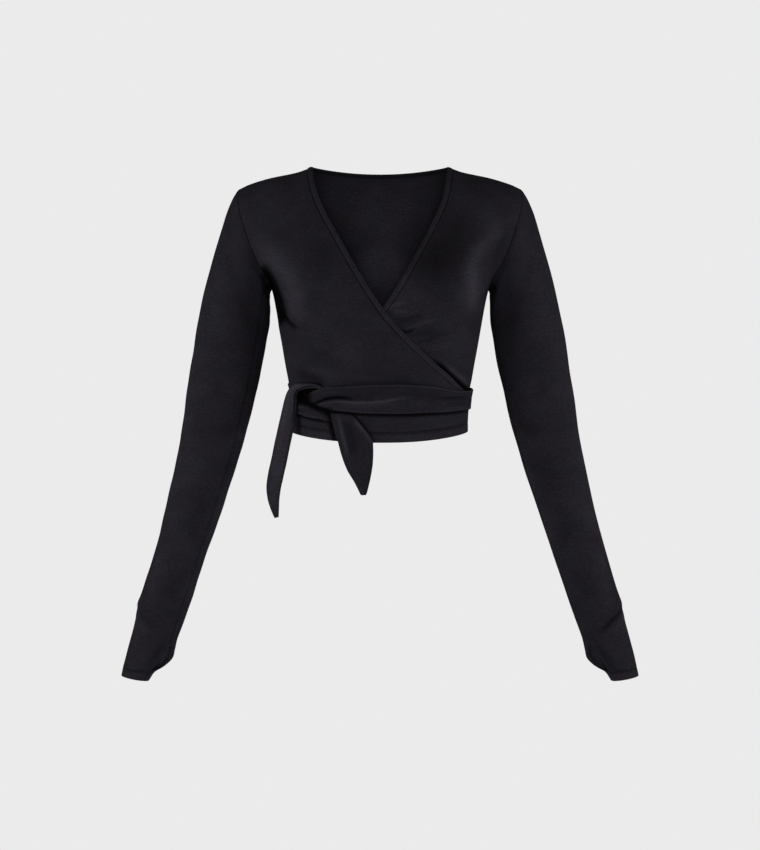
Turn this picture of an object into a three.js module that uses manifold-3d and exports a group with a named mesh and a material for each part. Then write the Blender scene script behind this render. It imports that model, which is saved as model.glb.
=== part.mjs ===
// A cropped wrap top in black stretch jersey, worn shape with no wearer: V neck, crossed fronts,
// long sleeves with thumb holes and a sash that is knotted at the wearer's right side.
// Millimetres. +Z is up, the front faces -Y, +X is the wearer's left.
// The origin lies between the two neck points, where the wearer's shoulders hold the garment up.
import * as THREE from "three";
import { mergeVertices } from "three/addons/utils/BufferGeometryUtils.js";
import Module from "manifold-3d";

// Cloth and seams
const CLOTH = 1.4; // one layer of jersey
const BAND_CLOTH = 2.4; // the neck band, folded double
const SASH_CLOTH = 2.0; // the sash, two layers
const SEAM_GAP = 0.3;
const LAYER_STEP = 2.5; // from the middle of the under front to the middle of the over front
const BAND_WIDTH = 8;

// Body landmarks
const NECK_HALF = 90; // from the centre to the neck point
const SHOULDER_TIP = { x: 190, z: -30.5 };
const ARMPIT = { x: 145.5, z: -163 };
const ARMHOLE_DEPTH = 45; // how far the armhole reaches forward and back of the shoulder seam
const SHOULDER_ROUND = 72; // height over which the cloth rolls over the shoulder
const SECTION_POWER = 2.3; // 2 is an ellipse, more is squarer
const HEM = { side: -355, frontDip: 6.5, backDip: 2 };
const OVERLAP_END = 85; // the over front ends at this angle, just short of the side seam
const COLUMN_STEP = 10; // degrees between the columns of the body's grid
const UPPER_ROWS = 10; // rows from the shoulder to the armpit
const FRONT_COLUMNS = 9;

// Sections of the body, from the hem up: half width, and how far front and back stand from the side seam
const SECTIONS = [
  { z: -372, halfWidth: 116, front: 92, back: 79 },
  { z: -340, halfWidth: 116, front: 94, back: 80 },
  { z: -312, halfWidth: 117.5, front: 96, back: 82 },
  { z: -285, halfWidth: 123, front: 101, back: 86 },
  { z: -250, halfWidth: 129, front: 110, back: 91 },
  { z: -222, halfWidth: 134, front: 115, back: 95 },
  { z: -190, halfWidth: 139.5, front: 114, back: 99 },
  { z: ARMPIT.z, halfWidth: ARMPIT.x, front: 110, back: 102 },
  { z: -128, halfWidth: 165, front: 103, back: 104 },
  { z: -80, halfWidth: 190, front: 92, back: 103 },
  { z: -30, halfWidth: 212, front: 84, back: 98 },
  { z: 20, halfWidth: 216, front: 80, back: 93 },
];
// Height of the shoulder seam at each distance from the centre, carried on to the centre line
const SHOULDER = [
  { x: 0, z: 12 },
  { x: 18, z: 11.6 },
  { x: 45, z: 7.8 },
  { x: NECK_HALF, z: -1.5 },
  { x: 110, z: -7 },
  { x: 147, z: -15 },
  { x: 174, z: -23.2 },
  { x: SHOULDER_TIP.x, z: SHOULDER_TIP.z },
  { x: 230, z: -46 },
];
// The armhole seam seen from the front
const ARMHOLE = [
  { z: ARMPIT.z, x: ARMPIT.x },
  { z: -151, x: 148.5 },
  { z: -129, x: 161 },
  { z: -106, x: 171 },
  { z: -81, x: 179.5 },
  { z: -60, x: 186 },
  { z: -45, x: 188.8 },
  { z: SHOULDER_TIP.z, x: SHOULDER_TIP.x },
];
// The neck edge of each front, from its own neck point across to the other side.
// x is counted towards the side that the front crosses to.
const OVER_EDGE = [
  { z: -301, x: 120.5 },
  { z: -297, x: 115.2 },
  { z: -291, x: 108.6 },
  { z: -276, x: 94 },
  { z: -256, x: 71 },
  { z: -235, x: 52 },
  { z: -208, x: 26 },
  { z: -182, x: 5 },
  { z: -139, x: -26 },
  { z: -95, x: -52 },
  { z: -46, x: -78 },
  { z: -20, x: -86.5 },
  { z: 0, x: -NECK_HALF },
];
const UNDER_EDGE = [
  { z: -300, x: 105 },
  { z: -276, x: 80 },
  { z: -235, x: 40 },
  { z: -208, x: 16 },
  { z: -182, x: -5 },
  { z: -151, x: -26 },
  { z: -115, x: -46 },
  { z: -72, x: -69 },
  { z: -39, x: -83 },
  { z: 0, x: -NECK_HALF },
];
// The large soft folds and the bust fullness of the fronts: ridges are above 0, valleys below
const FRONT_FOLDS = [
  { fromX: 178, fromZ: -60, toX: 133, toZ: -165, height: 3.2, spread: 10 },
  { fromX: 152, fromZ: -62, toX: 106, toZ: -126, height: -2.6, spread: 11 },
  { fromX: -164, fromZ: -96, toX: -104, toZ: -212, height: 2.2, spread: 12 },
  { fromX: -136, fromZ: -166, toX: -124, toZ: -208, height: -2.4, spread: 8 },
  { fromX: -72, fromZ: -226, toX: -72, toZ: -236, height: 8, spread: 42 },
  { fromX: 72, fromZ: -226, toX: 72, toZ: -236, height: 8, spread: 42 },
];
// Soft hollows of the back: beside the spine and under the shoulder blades
const BACK_FOLDS = [
  { fromX: 0, fromZ: -120, toX: 0, toZ: -300, height: -4, spread: 26 },
  { fromX: -96, fromZ: -205, toX: -40, toZ: -262, height: -2, spread: 11 },
  { fromX: 96, fromZ: -205, toX: 40, toZ: -262, height: -2, spread: 11 },
];
// Rows of the body's grid under the armpit; the last row is the hem
const LOWER_ROWS = [-163, -181, -199, -217, -235, -252, -267, -279, -288, -293, -297, -301, -313, -326, -340];

// Sleeve rings from the armhole to the cuff, seen from the front: outer edge, inner edge, half depth,
// and how far the ring has turned from the armhole's shape to an oval
const SLEEVE_RINGS = [
  { outerX: 197.5, outerZ: -44, innerX: 147.9, innerZ: -168, depth: 45, oval: 0.3 },
  { outerX: 205, outerZ: -61, innerX: 148.1, innerZ: -173.5, depth: 44, oval: 0.6 },
  { outerX: 212.5, outerZ: -84, innerX: 148.3, innerZ: -180, depth: 43, oval: 0.85 },
  { outerX: 220.5, outerZ: -111, innerX: 148.6, innerZ: -188, depth: 42, oval: 1 },
  { outerX: 229.5, outerZ: -143, innerX: 149.4, innerZ: -199, depth: 41, oval: 1 },
  { outerX: 238.5, outerZ: -179, innerX: 151, innerZ: -214, depth: 40, oval: 1 },
  { outerX: 246, outerZ: -213, innerX: 154.8, innerZ: -236, depth: 39, oval: 1 },
  { outerX: 251.8, outerZ: -249, innerX: 160.5, innerZ: -267, depth: 38, oval: 1 },
  { outerX: 258.5, outerZ: -291, innerX: 169.8, innerZ: -308, depth: 37, oval: 1 },
  { outerX: 264.5, outerZ: -334, innerX: 181, innerZ: -352, depth: 35.5, oval: 1 },
  { outerX: 272.5, outerZ: -380, innerX: 194.5, innerZ: -399, depth: 34, oval: 1 },
  { outerX: 281, outerZ: -420, innerX: 208.5, innerZ: -440, depth: 32.5, oval: 1 },
  { outerX: 291, outerZ: -464, innerX: 223.5, innerZ: -484, depth: 31, oval: 1 },
  { outerX: 301.5, outerZ: -504, innerX: 237.5, innerZ: -524, depth: 29.5, oval: 1 },
  { outerX: 311.5, outerZ: -538, innerX: 249.5, innerZ: -557, depth: 28, oval: 1 },
  { outerX: 320, outerZ: -566, innerX: 259, innerZ: -585, depth: 27, oval: 1 },
  { outerX: 327, outerZ: -586, innerX: 265.5, innerZ: -604, depth: 26, oval: 1 },
  { outerX: 330.5, outerZ: -604, innerX: 271.5, innerZ: -621, depth: 25.5, oval: 1 },
  { outerX: 335.5, outerZ: -624, innerX: 277, innerZ: -637, depth: 26, oval: 1 },
  { outerX: 340.5, outerZ: -643, innerX: 281.2, innerZ: -652, depth: 27.5, oval: 1 },
  { outerX: 344, outerZ: -656, innerX: 285.8, innerZ: -664, depth: 29, oval: 1 },
  { outerX: 346.5, outerZ: -666, innerX: 294.5, innerZ: -674, depth: 31, oval: 1 },
  { outerX: 348.7, outerZ: -676, innerX: 306, innerZ: -682, depth: 32.5, oval: 1 },
  { outerX: 351, outerZ: -687, innerX: 315, innerZ: -694.5, depth: 33, oval: 1 },
];
// The thumb hole lies on the inner side of the sleeve, turned to the front, just above the cuff's end
const THUMB_HOLE = { x: 296.5, y: -17, z: -662, halfLength: 22, halfWidth: 9, lean: 32, turn: 42, cut: 26 };

// The sash, from the wearer's left side across the front to the knot: angle round the body
// (0 is the middle of the front, 90 the wearer's left), top and bottom edge, and height off the body
const SASH_FRONT = [
  { angle: 89.6, top: -299, bottom: -324, off: 5, foldLine: 0.5, fold: 0 },
  { angle: 80, top: -297.5, bottom: -322.5, off: 4.7, foldLine: 0.5, fold: 0.3 },
  { angle: 70, top: -296, bottom: -322.5, off: 4.6, foldLine: 0.5, fold: 0 },
  { angle: 60, top: -295, bottom: -322.5, off: 4.5, foldLine: 0.6, fold: 0 },
  { angle: 50, top: -293.5, bottom: -323, off: 4.4, foldLine: 0.7, fold: 0 },
  { angle: 40, top: -290.5, bottom: -323.5, off: 4.3, foldLine: 0.7, fold: 0.3 },
  { angle: 30, top: -288, bottom: -324, off: 4.2, foldLine: 0.7, fold: 0.7 },
  { angle: 20, top: -286.5, bottom: -325, off: 4.1, foldLine: 0.62, fold: 1 },
  { angle: 10, top: -285.7, bottom: -325.5, off: 4, foldLine: 0.52, fold: 1 },
  { angle: 0, top: -286.3, bottom: -325.3, off: 4.1, foldLine: 0.48, fold: 1 },
  { angle: -10, top: -287.4, bottom: -324.2, off: 4.6, foldLine: 0.47, fold: 1 },
  { angle: -20, top: -288, bottom: -322, off: 5.3, foldLine: 0.55, fold: 1 },
  { angle: -30, top: -288.8, bottom: -319.5, off: 5.8, foldLine: 0.56, fold: 1 },
  { angle: -36, top: -290.5, bottom: -315.5, off: 6.1, foldLine: 0.5, fold: 1 },
  { angle: -41, top: -293.5, bottom: -311.5, off: 6.2, foldLine: 0.4, fold: 0.8 },
  { angle: -46, top: -297.5, bottom: -308.5, off: 6.4, foldLine: 0.4, fold: 0.4 },
];
// The tie of the over front, sewn to its end and led round the back to the knot
const TIE_INNER = [
  { angle: 85.8, top: -301, bottom: -324, off: 2.5 },
  { angle: 90, top: -300, bottom: -326, off: 2.4 },
  { angle: 110, top: -297, bottom: -333, off: 2.2 },
  { angle: 180, top: -296, bottom: -338, off: 2.2 },
  { angle: 235, top: -301, bottom: -339, off: 2.2 },
  { angle: 260, top: -313, bottom: -336, off: 2.2 },
  { angle: 270, top: -317, bottom: -332, off: 2.3 },
  { angle: 285, top: -316.5, bottom: -327.5, off: 2.4 },
  { angle: 300, top: -311.5, bottom: -327.5, off: 2.4 },
  { angle: 310, top: -310.5, bottom: -330.5, off: 2.5 },
  { angle: 317, top: -313, bottom: -331.8, off: 2.6 },
  { angle: 323, top: -316.5, bottom: -332.5, off: 2.7 },
  { angle: 328, top: -319.5, bottom: -333.3, off: 2.7 },
];
// The tie of the under front, out of the side seam and round the back to the wearer's left
const TIE_OUTER = [
  { angle: 90.4, top: -299, bottom: -324, off: 5 },
  { angle: 110, top: -296, bottom: -329, off: 4.8 },
  { angle: 150, top: -292, bottom: -333, off: 4.7 },
  { angle: 180, top: -291, bottom: -334, off: 4.7 },
  { angle: 215, top: -291, bottom: -331, off: 4.7 },
  { angle: 240, top: -290, bottom: -322, off: 4.6 },
  { angle: 258, top: -289, bottom: -307, off: 3.4 },
  { angle: 268, top: -290, bottom: -301, off: 2.1 },
];
// The long end: out from behind the sash, up over it and down the wearer's right side
const LONG_END = [
  { x: -68.5, off: 3, z: -293.5, half: 1.8, thick: 1.6, faceX: -0.5 },
  { x: -75.2, off: 3.1, z: -290.4, half: 2.1, thick: 1.8, faceX: -0.53 },
  { x: -82.2, off: 3.6, z: -288, half: 2.6, thick: 2, faceX: -0.57 },
  { x: -90.6, off: 5.2, z: -287.4, half: 3.3, thick: 2.4, faceX: -0.62 },
  { x: -98.6, off: 6.8, z: -289.4, half: 3.9, thick: 2.8, faceX: -0.65 },
  { x: -110.3, y: -63, z: -294.2, half: 4.7, thick: 3.2, faceX: -0.6 },
  { x: -115.8, y: -58, z: -301.5, half: 5.6, thick: 3.4, faceX: -0.5 },
  { x: -119.8, y: -54, z: -311.5, half: 7, thick: 3.6, faceX: -0.4 },
  { x: -123.3, y: -53, z: -326, half: 8.1, thick: 3.6, faceX: -0.35 },
  { x: -128.2, y: -54, z: -348, half: 8.5, thick: 3.6, faceX: -0.3 },
  { x: -133, y: -55.5, z: -370, half: 8.6, thick: 3.5, faceX: -0.3 },
  { x: -136.8, y: -57, z: -389, half: 8.6, thick: 3.4, faceX: -0.3 },
  { x: -141.2, y: -58, z: -408, half: 8.5, thick: 3.2, faceX: -0.25 },
  { x: -144.3, y: -59, z: -426, half: 7.8, thick: 3, faceX: -0.2 },
  { x: -144.8, y: -59.5, z: -441, half: 6.2, thick: 2.8, faceX: -0.2 },
  { x: -143.4, y: -60, z: -454, half: 4.2, thick: 2.6, faceX: -0.2 },
  { x: -141.6, y: -60, z: -465, half: 2.1, thick: 2.4, faceX: -0.2 },
];
// The short end: from behind the sash down over the hem, between its two edges
const SHORT_END = [
  { z: -311, left: -65.5, right: -44.3, off: 2.8, fold: 0 },
  { z: -321, left: -62.2, right: -39.5, off: 2.85, fold: 0 },
  { z: -331, left: -59.8, right: -29.9, off: 3.3, fold: 0.6 },
  { z: -341, left: -57.6, right: -23, off: 4.2, fold: 1 },
  { z: -351, left: -54.9, right: -16.4, off: 5, fold: 1 },
  { z: -361, left: -51.6, right: -10.2, off: 5.6, fold: 1 },
  { z: -375, left: -48, right: -9.3, off: 6.2, fold: 0.8 },
  { z: -389, left: -43.6, right: -9.6, off: 6.6, fold: 0.5 },
  { z: -400, left: -38.8, right: -11, off: 7, fold: 0.2 },
  { z: -412, left: -31.9, right: -13.6, off: 7.3, fold: 0 },
  { z: -423, left: -26.2, right: -16.2, off: 7.6, fold: 0 },
  { z: -431, left: -22.6, right: -18.6, off: 7.8, fold: 0 },
];

const degrees = (d) => (d * Math.PI) / 180;
const mix = (a, b, t) => a + (b - a) * t;
const clamp = (v, low, high) => Math.min(Math.max(v, low), high);

function smoothStep(v, low, high) {
  const t = clamp((v - low) / (high - low), 0, 1);
  return t * t * (3 - 2 * t);
}

// A smooth curve through a column of a table, without overshoot: at is the table's key column.
function along(rows, at, column, value) {
  const last = rows.length - 1;
  const v = clamp(value, rows[0][at], rows[last][at]);
  let i = 0;
  while (i < last - 1 && v > rows[i + 1][at]) i++;
  const slope = (k) => (rows[k + 1][column] - rows[k][column]) / (rows[k + 1][at] - rows[k][at]);
  const tangent = (k) => {
    if (k === 0) return slope(0);
    if (k === last) return slope(last - 1);
    const before = slope(k - 1);
    const after = slope(k);
    return before * after <= 0 ? 0 : (2 * before * after) / (before + after);
  };
  const h = rows[i + 1][at] - rows[i][at];
  const t = (v - rows[i][at]) / h;
  const t2 = t * t;
  const t3 = t2 * t;
  return (
    rows[i][column] * (2 * t3 - 3 * t2 + 1) +
    tangent(i) * h * (t3 - 2 * t2 + t) +
    rows[i + 1][column] * (3 * t2 - 2 * t3) +
    tangent(i + 1) * h * (t3 - t2)
  );
}

const shoulderHeight = (x) => along(SHOULDER, "x", "z", Math.abs(x));
const armholeX = (z) => along(ARMHOLE, "z", "x", z);

// How far the armhole's front or back edge stands from the shoulder seam's plane at a height.
function armholeY(z) {
  const half = (SHOULDER_TIP.z - ARMPIT.z) / 2;
  const t = clamp((z - ARMPIT.z - half) / half, -1, 1);
  return ARMHOLE_DEPTH * Math.sqrt(1 - t * t);
}

// Half width of the whole section; above the armpit it is set so that the surface meets the armhole.
function halfWidth(z, depth) {
  if (z <= ARMPIT.z) return along(SECTIONS, "z", "halfWidth", z);
  const top = SHOULDER_TIP.z - 0.02;
  const level = Math.min(z, top);
  const rolled = shoulderRoll(armholeX(level), level);
  const share = clamp(armholeY(level) / (depth * Math.max(rolled, 1e-3)), 0, 0.6);
  return armholeX(level) / Math.pow(1 - Math.pow(share, SECTION_POWER), 1 / SECTION_POWER);
}

// 0 on the shoulder seam, 1 where the cloth has rolled over the shoulder and hangs.
function shoulderRoll(x, z) {
  const q = clamp((shoulderHeight(x) - z) / SHOULDER_ROUND, 0, 1);
  return Math.sqrt(1 - (1 - q) * (1 - q));
}

// Ridges and valleys: each is a soft line that fades to nothing past its ends.
function foldHeight(folds, x, z) {
  let sum = 0;
  for (const f of folds) {
    const dx = f.toX - f.fromX;
    const dz = f.toZ - f.fromZ;
    const t = clamp(((x - f.fromX) * dx + (z - f.fromZ) * dz) / (dx * dx + dz * dz), 0, 1);
    const gap = Math.hypot(x - f.fromX - dx * t, z - f.fromZ - dz * t);
    sum += f.height * Math.exp(-(gap * gap) / (2 * f.spread * f.spread));
  }
  return sum;
}

// The square of the plain surface's distance from the side seam's plane. It is smooth over the seams.
function plainSquare(isBack, x, z) {
  const depth = along(SECTIONS, "z", isBack ? "back" : "front", z);
  const q = Math.min((shoulderHeight(x) - z) / SHOULDER_ROUND, 1);
  const roll = 1 - (1 - q) * (1 - q);
  const rest = 1 - Math.pow(Math.abs(x) / halfWidth(z, depth), SECTION_POWER);
  const across = Math.sign(rest) * Math.pow(Math.abs(rest), 2 / SECTION_POWER);
  return depth * depth * roll * across;
}

function foldsAt(isBack, x, z) {
  const share = Math.sqrt(Math.max(plainSquare(isBack, x, z), 0)) / 100;
  return foldHeight(isBack ? BACK_FOLDS : FRONT_FOLDS, x, z) * smoothStep(share, 0.12, 0.6);
}

// The wearer's right side stands out a little more from the waist down.
const FLARE = { share: 0.038, above: -245, below: -295 };
const flare = (x, z) => (x < 0 ? 1 + FLARE.share * (1 - smoothStep(z, FLARE.below, FLARE.above)) : 1);

// A point of the body's middle surface with its outward normal, for the front or the back.
function bodyPoint(isBack, x, z) {
  const out = isBack ? 1 : -1;
  const square = (a, b) => plainSquare(isBack, a, b);
  const plain = Math.sqrt(Math.max(square(x, z), 0));
  const step = 0.5;
  const slopeX = (square(x + step, z) - square(x - step, z)) / (2 * step);
  const slopeZ = (square(x, z + step) - square(x, z - step)) / (2 * step);
  const folds = foldsAt(isBack, x, z);
  const foldX = (foldsAt(isBack, x + step, z) - foldsAt(isBack, x - step, z)) / (2 * step);
  const foldZ = (foldsAt(isBack, x, z + step) - foldsAt(isBack, x, z - step)) / (2 * step);
  const normal = new THREE.Vector3(
    -slopeX - 2 * plain * foldX,
    2 * plain * out,
    -slopeZ - 2 * plain * foldZ,
  ).normalize();
  return { point: new THREE.Vector3(x * flare(x, z), out * (plain + folds), z), normal };
}

function lifted(isBack, x, z, off) {
  const { point, normal } = bodyPoint(isBack, x, z);
  return point.addScaledVector(normal, off);
}

// Angles go round the body: 0 the middle of the front, 90 the wearer's left side, 180 the back.
const wrapAngle = (angle) => ((((angle + 180) % 360) + 360) % 360) - 180;
const isBackAngle = (angle) => Math.abs(wrapAngle(angle)) > 90;

function sideways(angle) {
  const sine = Math.sin(degrees(wrapAngle(angle)));
  return Math.sign(sine) * Math.pow(Math.abs(sine), 2 / SECTION_POWER);
}

function hemHeight(angle) {
  const cosine = Math.cos(degrees(angle));
  return HEM.side - (cosine > 0 ? HEM.frontDip : HEM.backDip) * cosine * cosine;
}

const rowHeight = (row, angle) => (row < LOWER_ROWS.length ? LOWER_ROWS[row] : hemHeight(angle));

const gridCache = new Map();

// A crossing of the body's grid below the armpit, lifted off the middle surface.
function crossing(row, column, off) {
  const key = `${row}/${column}/${off}`;
  if (!gridCache.has(key)) {
    const angle = column * COLUMN_STEP;
    const z = rowHeight(row, angle);
    const isBack = isBackAngle(angle);
    const x = halfWidth(z) * sideways(angle) * 0.99999;
    gridCache.set(key, lifted(isBack, x, z, off));
  }
  return gridCache.get(key);
}

// A point between the grid's crossings. Every layer uses it, so that layers keep their distance.
function onGrid(angle, z, off) {
  const column = Math.floor(angle / COLUMN_STEP);
  const share = angle / COLUMN_STEP - column;
  const last = LOWER_ROWS.length;
  const height = (row) => mix(rowHeight(row, column * COLUMN_STEP), rowHeight(row, (column + 1) * COLUMN_STEP), share);
  let row = 0;
  while (row < last - 1 && z < height(row + 1)) row++;
  const down = (z - height(row)) / (height(row + 1) - height(row));
  const line = (r) => crossing(r, column, off).clone().lerp(crossing(r, column + 1, off), share);
  return line(row).lerp(line(row + 1), down);
}

function angleAt(x, z) {
  const share = clamp(Math.abs(x) / halfWidth(z), 0, 1);
  return (Math.sign(x) * Math.asin(Math.pow(share, SECTION_POWER / 2)) * 180) / Math.PI;
}

// Closes a sheet: rows of { u, outer, inner } points become one solid wall.
// Rows may have different numbers of points; u orders them along the row.
function wall(rows, closed = false) {
  const points = [];
  const faces = [];
  const number = (p) => points.push(p.x, p.y, p.z) / 3 - 1;
  const grid = rows.map((row) => row.map((v) => ({ u: v.u, outer: number(v.outer), inner: number(v.inner) })));
  const face = (a, b, c) => faces.push(a, b, c);
  const quad = (a, b, c, d) => {
    face(a, b, c);
    face(a, c, d);
  };
  for (let r = 0; r + 1 < grid.length; r++) {
    const low = grid[r];
    const high = grid[r + 1];
    let i = 0;
    let j = 0;
    const atEnd = () => i === low.length - 1 && j === high.length - 1;
    while (!atEnd()) {
      const stepLow =
        j === high.length - 1 || (i < low.length - 1 && low[i + 1].u + low[i].u <= high[j + 1].u + high[j].u);
      if (stepLow) {
        face(low[i].outer, low[i + 1].outer, high[j].outer);
        face(low[i].inner, high[j].inner, low[i + 1].inner);
        i++;
      } else {
        face(low[i].outer, high[j + 1].outer, high[j].outer);
        face(low[i].inner, high[j].inner, high[j + 1].inner);
        j++;
      }
    }
    if (closed) {
      const [a, b, c, d] = [low[low.length - 1], low[0], high[0], high[high.length - 1]];
      quad(a.outer, b.outer, c.outer, d.outer);
      quad(a.inner, d.inner, c.inner, b.inner);
    } else {
      quad(low[0].inner, low[0].outer, high[0].outer, high[0].inner);
      const a = low[low.length - 1];
      const b = high[high.length - 1];
      quad(a.outer, a.inner, b.inner, b.outer);
    }
  }
  const rim = (row, turned) => {
    const count = closed ? row.length : row.length - 1;
    for (let i = 0; i < count; i++) {
      const a = row[i];
      const b = row[(i + 1) % row.length];
      if (turned) quad(a.outer, b.outer, b.inner, a.inner);
      else quad(a.inner, b.inner, b.outer, a.outer);
    }
  };
  rim(grid[0], false);
  rim(grid[grid.length - 1], true);
  const geometry = new THREE.BufferGeometry();
  geometry.setAttribute("position", new THREE.Float32BufferAttribute(points, 3));
  geometry.setIndex(signedVolume(points, faces) < 0 ? turnedRound(faces) : faces);
  return geometry;
}

function signedVolume(points, faces) {
  const corner = (i) => new THREE.Vector3().fromArray(points, i * 3);
  let sum = 0;
  for (let i = 0; i < faces.length; i += 3) {
    sum += corner(faces[i]).dot(corner(faces[i + 1]).cross(corner(faces[i + 2])));
  }
  return sum;
}

function turnedRound(faces) {
  const turned = [];
  for (let i = 0; i < faces.length; i += 3) turned.push(faces[i], faces[i + 2], faces[i + 1]);
  return turned;
}

// The fronts lie in two layers where they cross. lift is 0 for a front at its own side seam.
function frontLift(isOver, x, z) {
  const share = clamp(x / halfWidth(Math.min(z, ARMPIT.z)), -1, 1);
  const crossed = 1 - smoothStep(z, -178, -110);
  return (LAYER_STEP / 2) * (isOver ? 1 + share : share - 1) * crossed;
}

function edgeX(table, z) {
  const end = halfWidth(Math.min(z, ARMPIT.z)) * sideways(OVERLAP_END);
  return Math.min(along(table, "z", "x", z), z < ARMPIT.z ? end : 1e3);
}

// Where a front's panel stops and its neck band starts.
function seamX(table, z) {
  const tapered = smoothStep(z, table[0].z + 2, table[0].z + 14);
  return edgeX(table, z) - tapered * BAND_WIDTH * slant(table, z);
}

// How much longer a level line across the band is than the band is wide.
const slant = (table, z) => Math.hypot(1, (edgeX(table, z + 1) - edgeX(table, z - 1)) / 2);

// Heights of the upper rows at the armhole; they are level at the armpit and follow the shoulder at the top.
function upperRow(i) {
  const half = (SHOULDER_TIP.z - ARMPIT.z) / 2;
  const z = ARMPIT.z + half + half * Math.cos((Math.PI * i) / UPPER_ROWS);
  return { z, x: armholeX(z), slope: smoothStep(z, -150, SHOULDER_TIP.z), share: i / UPPER_ROWS };
}

// The x at which an upper row meets an edge given as x of z.
function meet(row, topAt, edge) {
  let x = edge(row.z);
  for (let i = 0; i < 30; i++) x = mix(x, edge(rowZ(row, topAt, x)), 0.6);
  return x;
}

const rowZ = (row, topAt, x) => row.z + (topAt(x) - topAt(row.x)) * row.slope;

// Shares across a row: even at the shoulder, by angle at the armpit, where the body's side rounds away.
function shareAcross(j, count, row, edge) {
  const even = j / count;
  const turn = mix(90, angleAt(edge, ARMPIT.z), even);
  const byAngle = (1 - sideways(turn)) / (1 - edge / ARMPIT.x);
  return mix(even, byAngle, row.share * row.share);
}

// The doubled band is flush with the panel on the face that meets the other front.
const bandLift = (isOver, thick) => ((isOver ? 1 : -1) * (thick - CLOTH)) / 2;

// side is 1 where a front's own side seam is on the wearer's right (-X), and -1 on the wearer's left.
function frontVertex(side, isOver, x, z, u, thick) {
  const realX = side * x;
  const lift = frontLift(isOver, realX, z) + bandLift(isOver, thick);
  return {
    u,
    outer: lifted(false, realX, z, lift + thick / 2),
    inner: lifted(false, realX, z, lift - thick / 2),
  };
}

function frontGridVertex(side, isOver, angle, z, thick) {
  const realAngle = side * angle;
  const x = halfWidth(z) * sideways(realAngle);
  const lift = frontLift(isOver, x, z) + bandLift(isOver, thick);
  const at = (off) => onGrid(realAngle, z, Math.round(off * 1e4) / 1e4);
  return { u: angle, outer: at(lift + thick / 2), inner: at(lift - thick / 2) };
}

function nudged(vertex, move) {
  vertex.outer.add(move);
  vertex.inner.add(move);
  return vertex;
}

function frontPanel(side, isOver, table) {
  const rows = [];
  const lastU = angleAt(seamX(table, ARMPIT.z), ARMPIT.z);
  const back = new THREE.Vector3(0, -SEAM_GAP / 2, 0);
  for (let i = 0; i <= UPPER_ROWS; i++) {
    const row = upperRow(i);
    const end = meet(row, shoulderHeight, (z) => seamX(table, z));
    const vertices = [];
    for (let j = 0; j <= FRONT_COLUMNS; j++) {
      const share = shareAcross(j, FRONT_COLUMNS, row, -seamX(table, ARMPIT.z));
      const x = mix(-row.x, end, share);
      const z = rowZ(row, shoulderHeight, x);
      vertices.push(frontVertex(side, isOver, x, z, mix(-90, lastU, j / FRONT_COLUMNS), CLOTH));
    }
    if (i === 0) vertices.forEach((v) => nudged(v, back));
    if (i < UPPER_ROWS) rows.push(vertices);
  }
  for (let r = 0; r <= LOWER_ROWS.length; r++) {
    const level = r < LOWER_ROWS.length ? LOWER_ROWS[r] : HEM.side;
    const end = Math.min(angleAt(seamX(table, level), level), OVERLAP_END);
    const vertices = [];
    for (let angle = -90; angle < end - 1.5; angle += COLUMN_STEP) {
      vertices.push(frontGridVertex(side, isOver, angle, rowHeight(r, angle), CLOTH));
    }
    vertices.push(frontGridVertex(side, isOver, end, rowHeight(r, end), CLOTH));
    nudged(vertices[0], back);
    rows.push(vertices);
  }
  return wall(rows);
}

// The neck band of a front: a doubled strip sewn to the panel's edge.
function frontBand(side, isOver, table) {
  const rows = [];
  const strip = (z, from, to, seam) => {
    const vertices = [];
    for (let j = 0; j <= 2; j++) {
      const share = j / 2;
      const x = mix(from, to, share) + SEAM_GAP * slant(table, z) * (1 - share);
      const height = seam ? seam(x) : z;
      vertices.push(
        z > ARMPIT.z
          ? frontVertex(side, isOver, x, height, share, BAND_CLOTH)
          : frontGridVertex(side, isOver, angleAt(x, z), z, BAND_CLOTH),
      );
      vertices[j].u = share;
    }
    return vertices;
  };
  for (let i = 0; i < UPPER_ROWS; i++) {
    const row = upperRow(i);
    const from = meet(row, shoulderHeight, (z) => seamX(table, z));
    const to = meet(row, shoulderHeight, (z) => edgeX(table, z));
    rows.push(strip(row.z, from, to, (x) => rowZ(row, shoulderHeight, x)));
    if (i === 0) rows[0].forEach((v) => nudged(v, new THREE.Vector3(0, -SEAM_GAP / 2, 0)));
  }
  for (const z of LOWER_ROWS.filter((level) => level > table[0].z + 4)) {
    rows.push(strip(z, seamX(table, z), edgeX(table, z)));
  }
  return wall(rows);
}

// The back's upper edge: the shoulder seam, then the lower line of the neck band.
const BACK_SEAM_X = NECK_HALF + BAND_WIDTH + SEAM_GAP;
const BACK_RIM_DROP = 6.2;
const BACK_SEAM_DROP = 9.2;
const NECK_COLUMNS = 6; // columns of the grid from a neck point to the middle of the back

function neckCurve(drop, halfSpan, x) {
  return shoulderHeight(halfSpan) - drop * (1 - Math.pow(clamp(Math.abs(x) / halfSpan, 0, 1), 2));
}

function backTop(x) {
  return Math.abs(x) >= BACK_SEAM_X ? shoulderHeight(x) : neckCurve(BACK_SEAM_DROP, BACK_SEAM_X, x);
}

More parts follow.
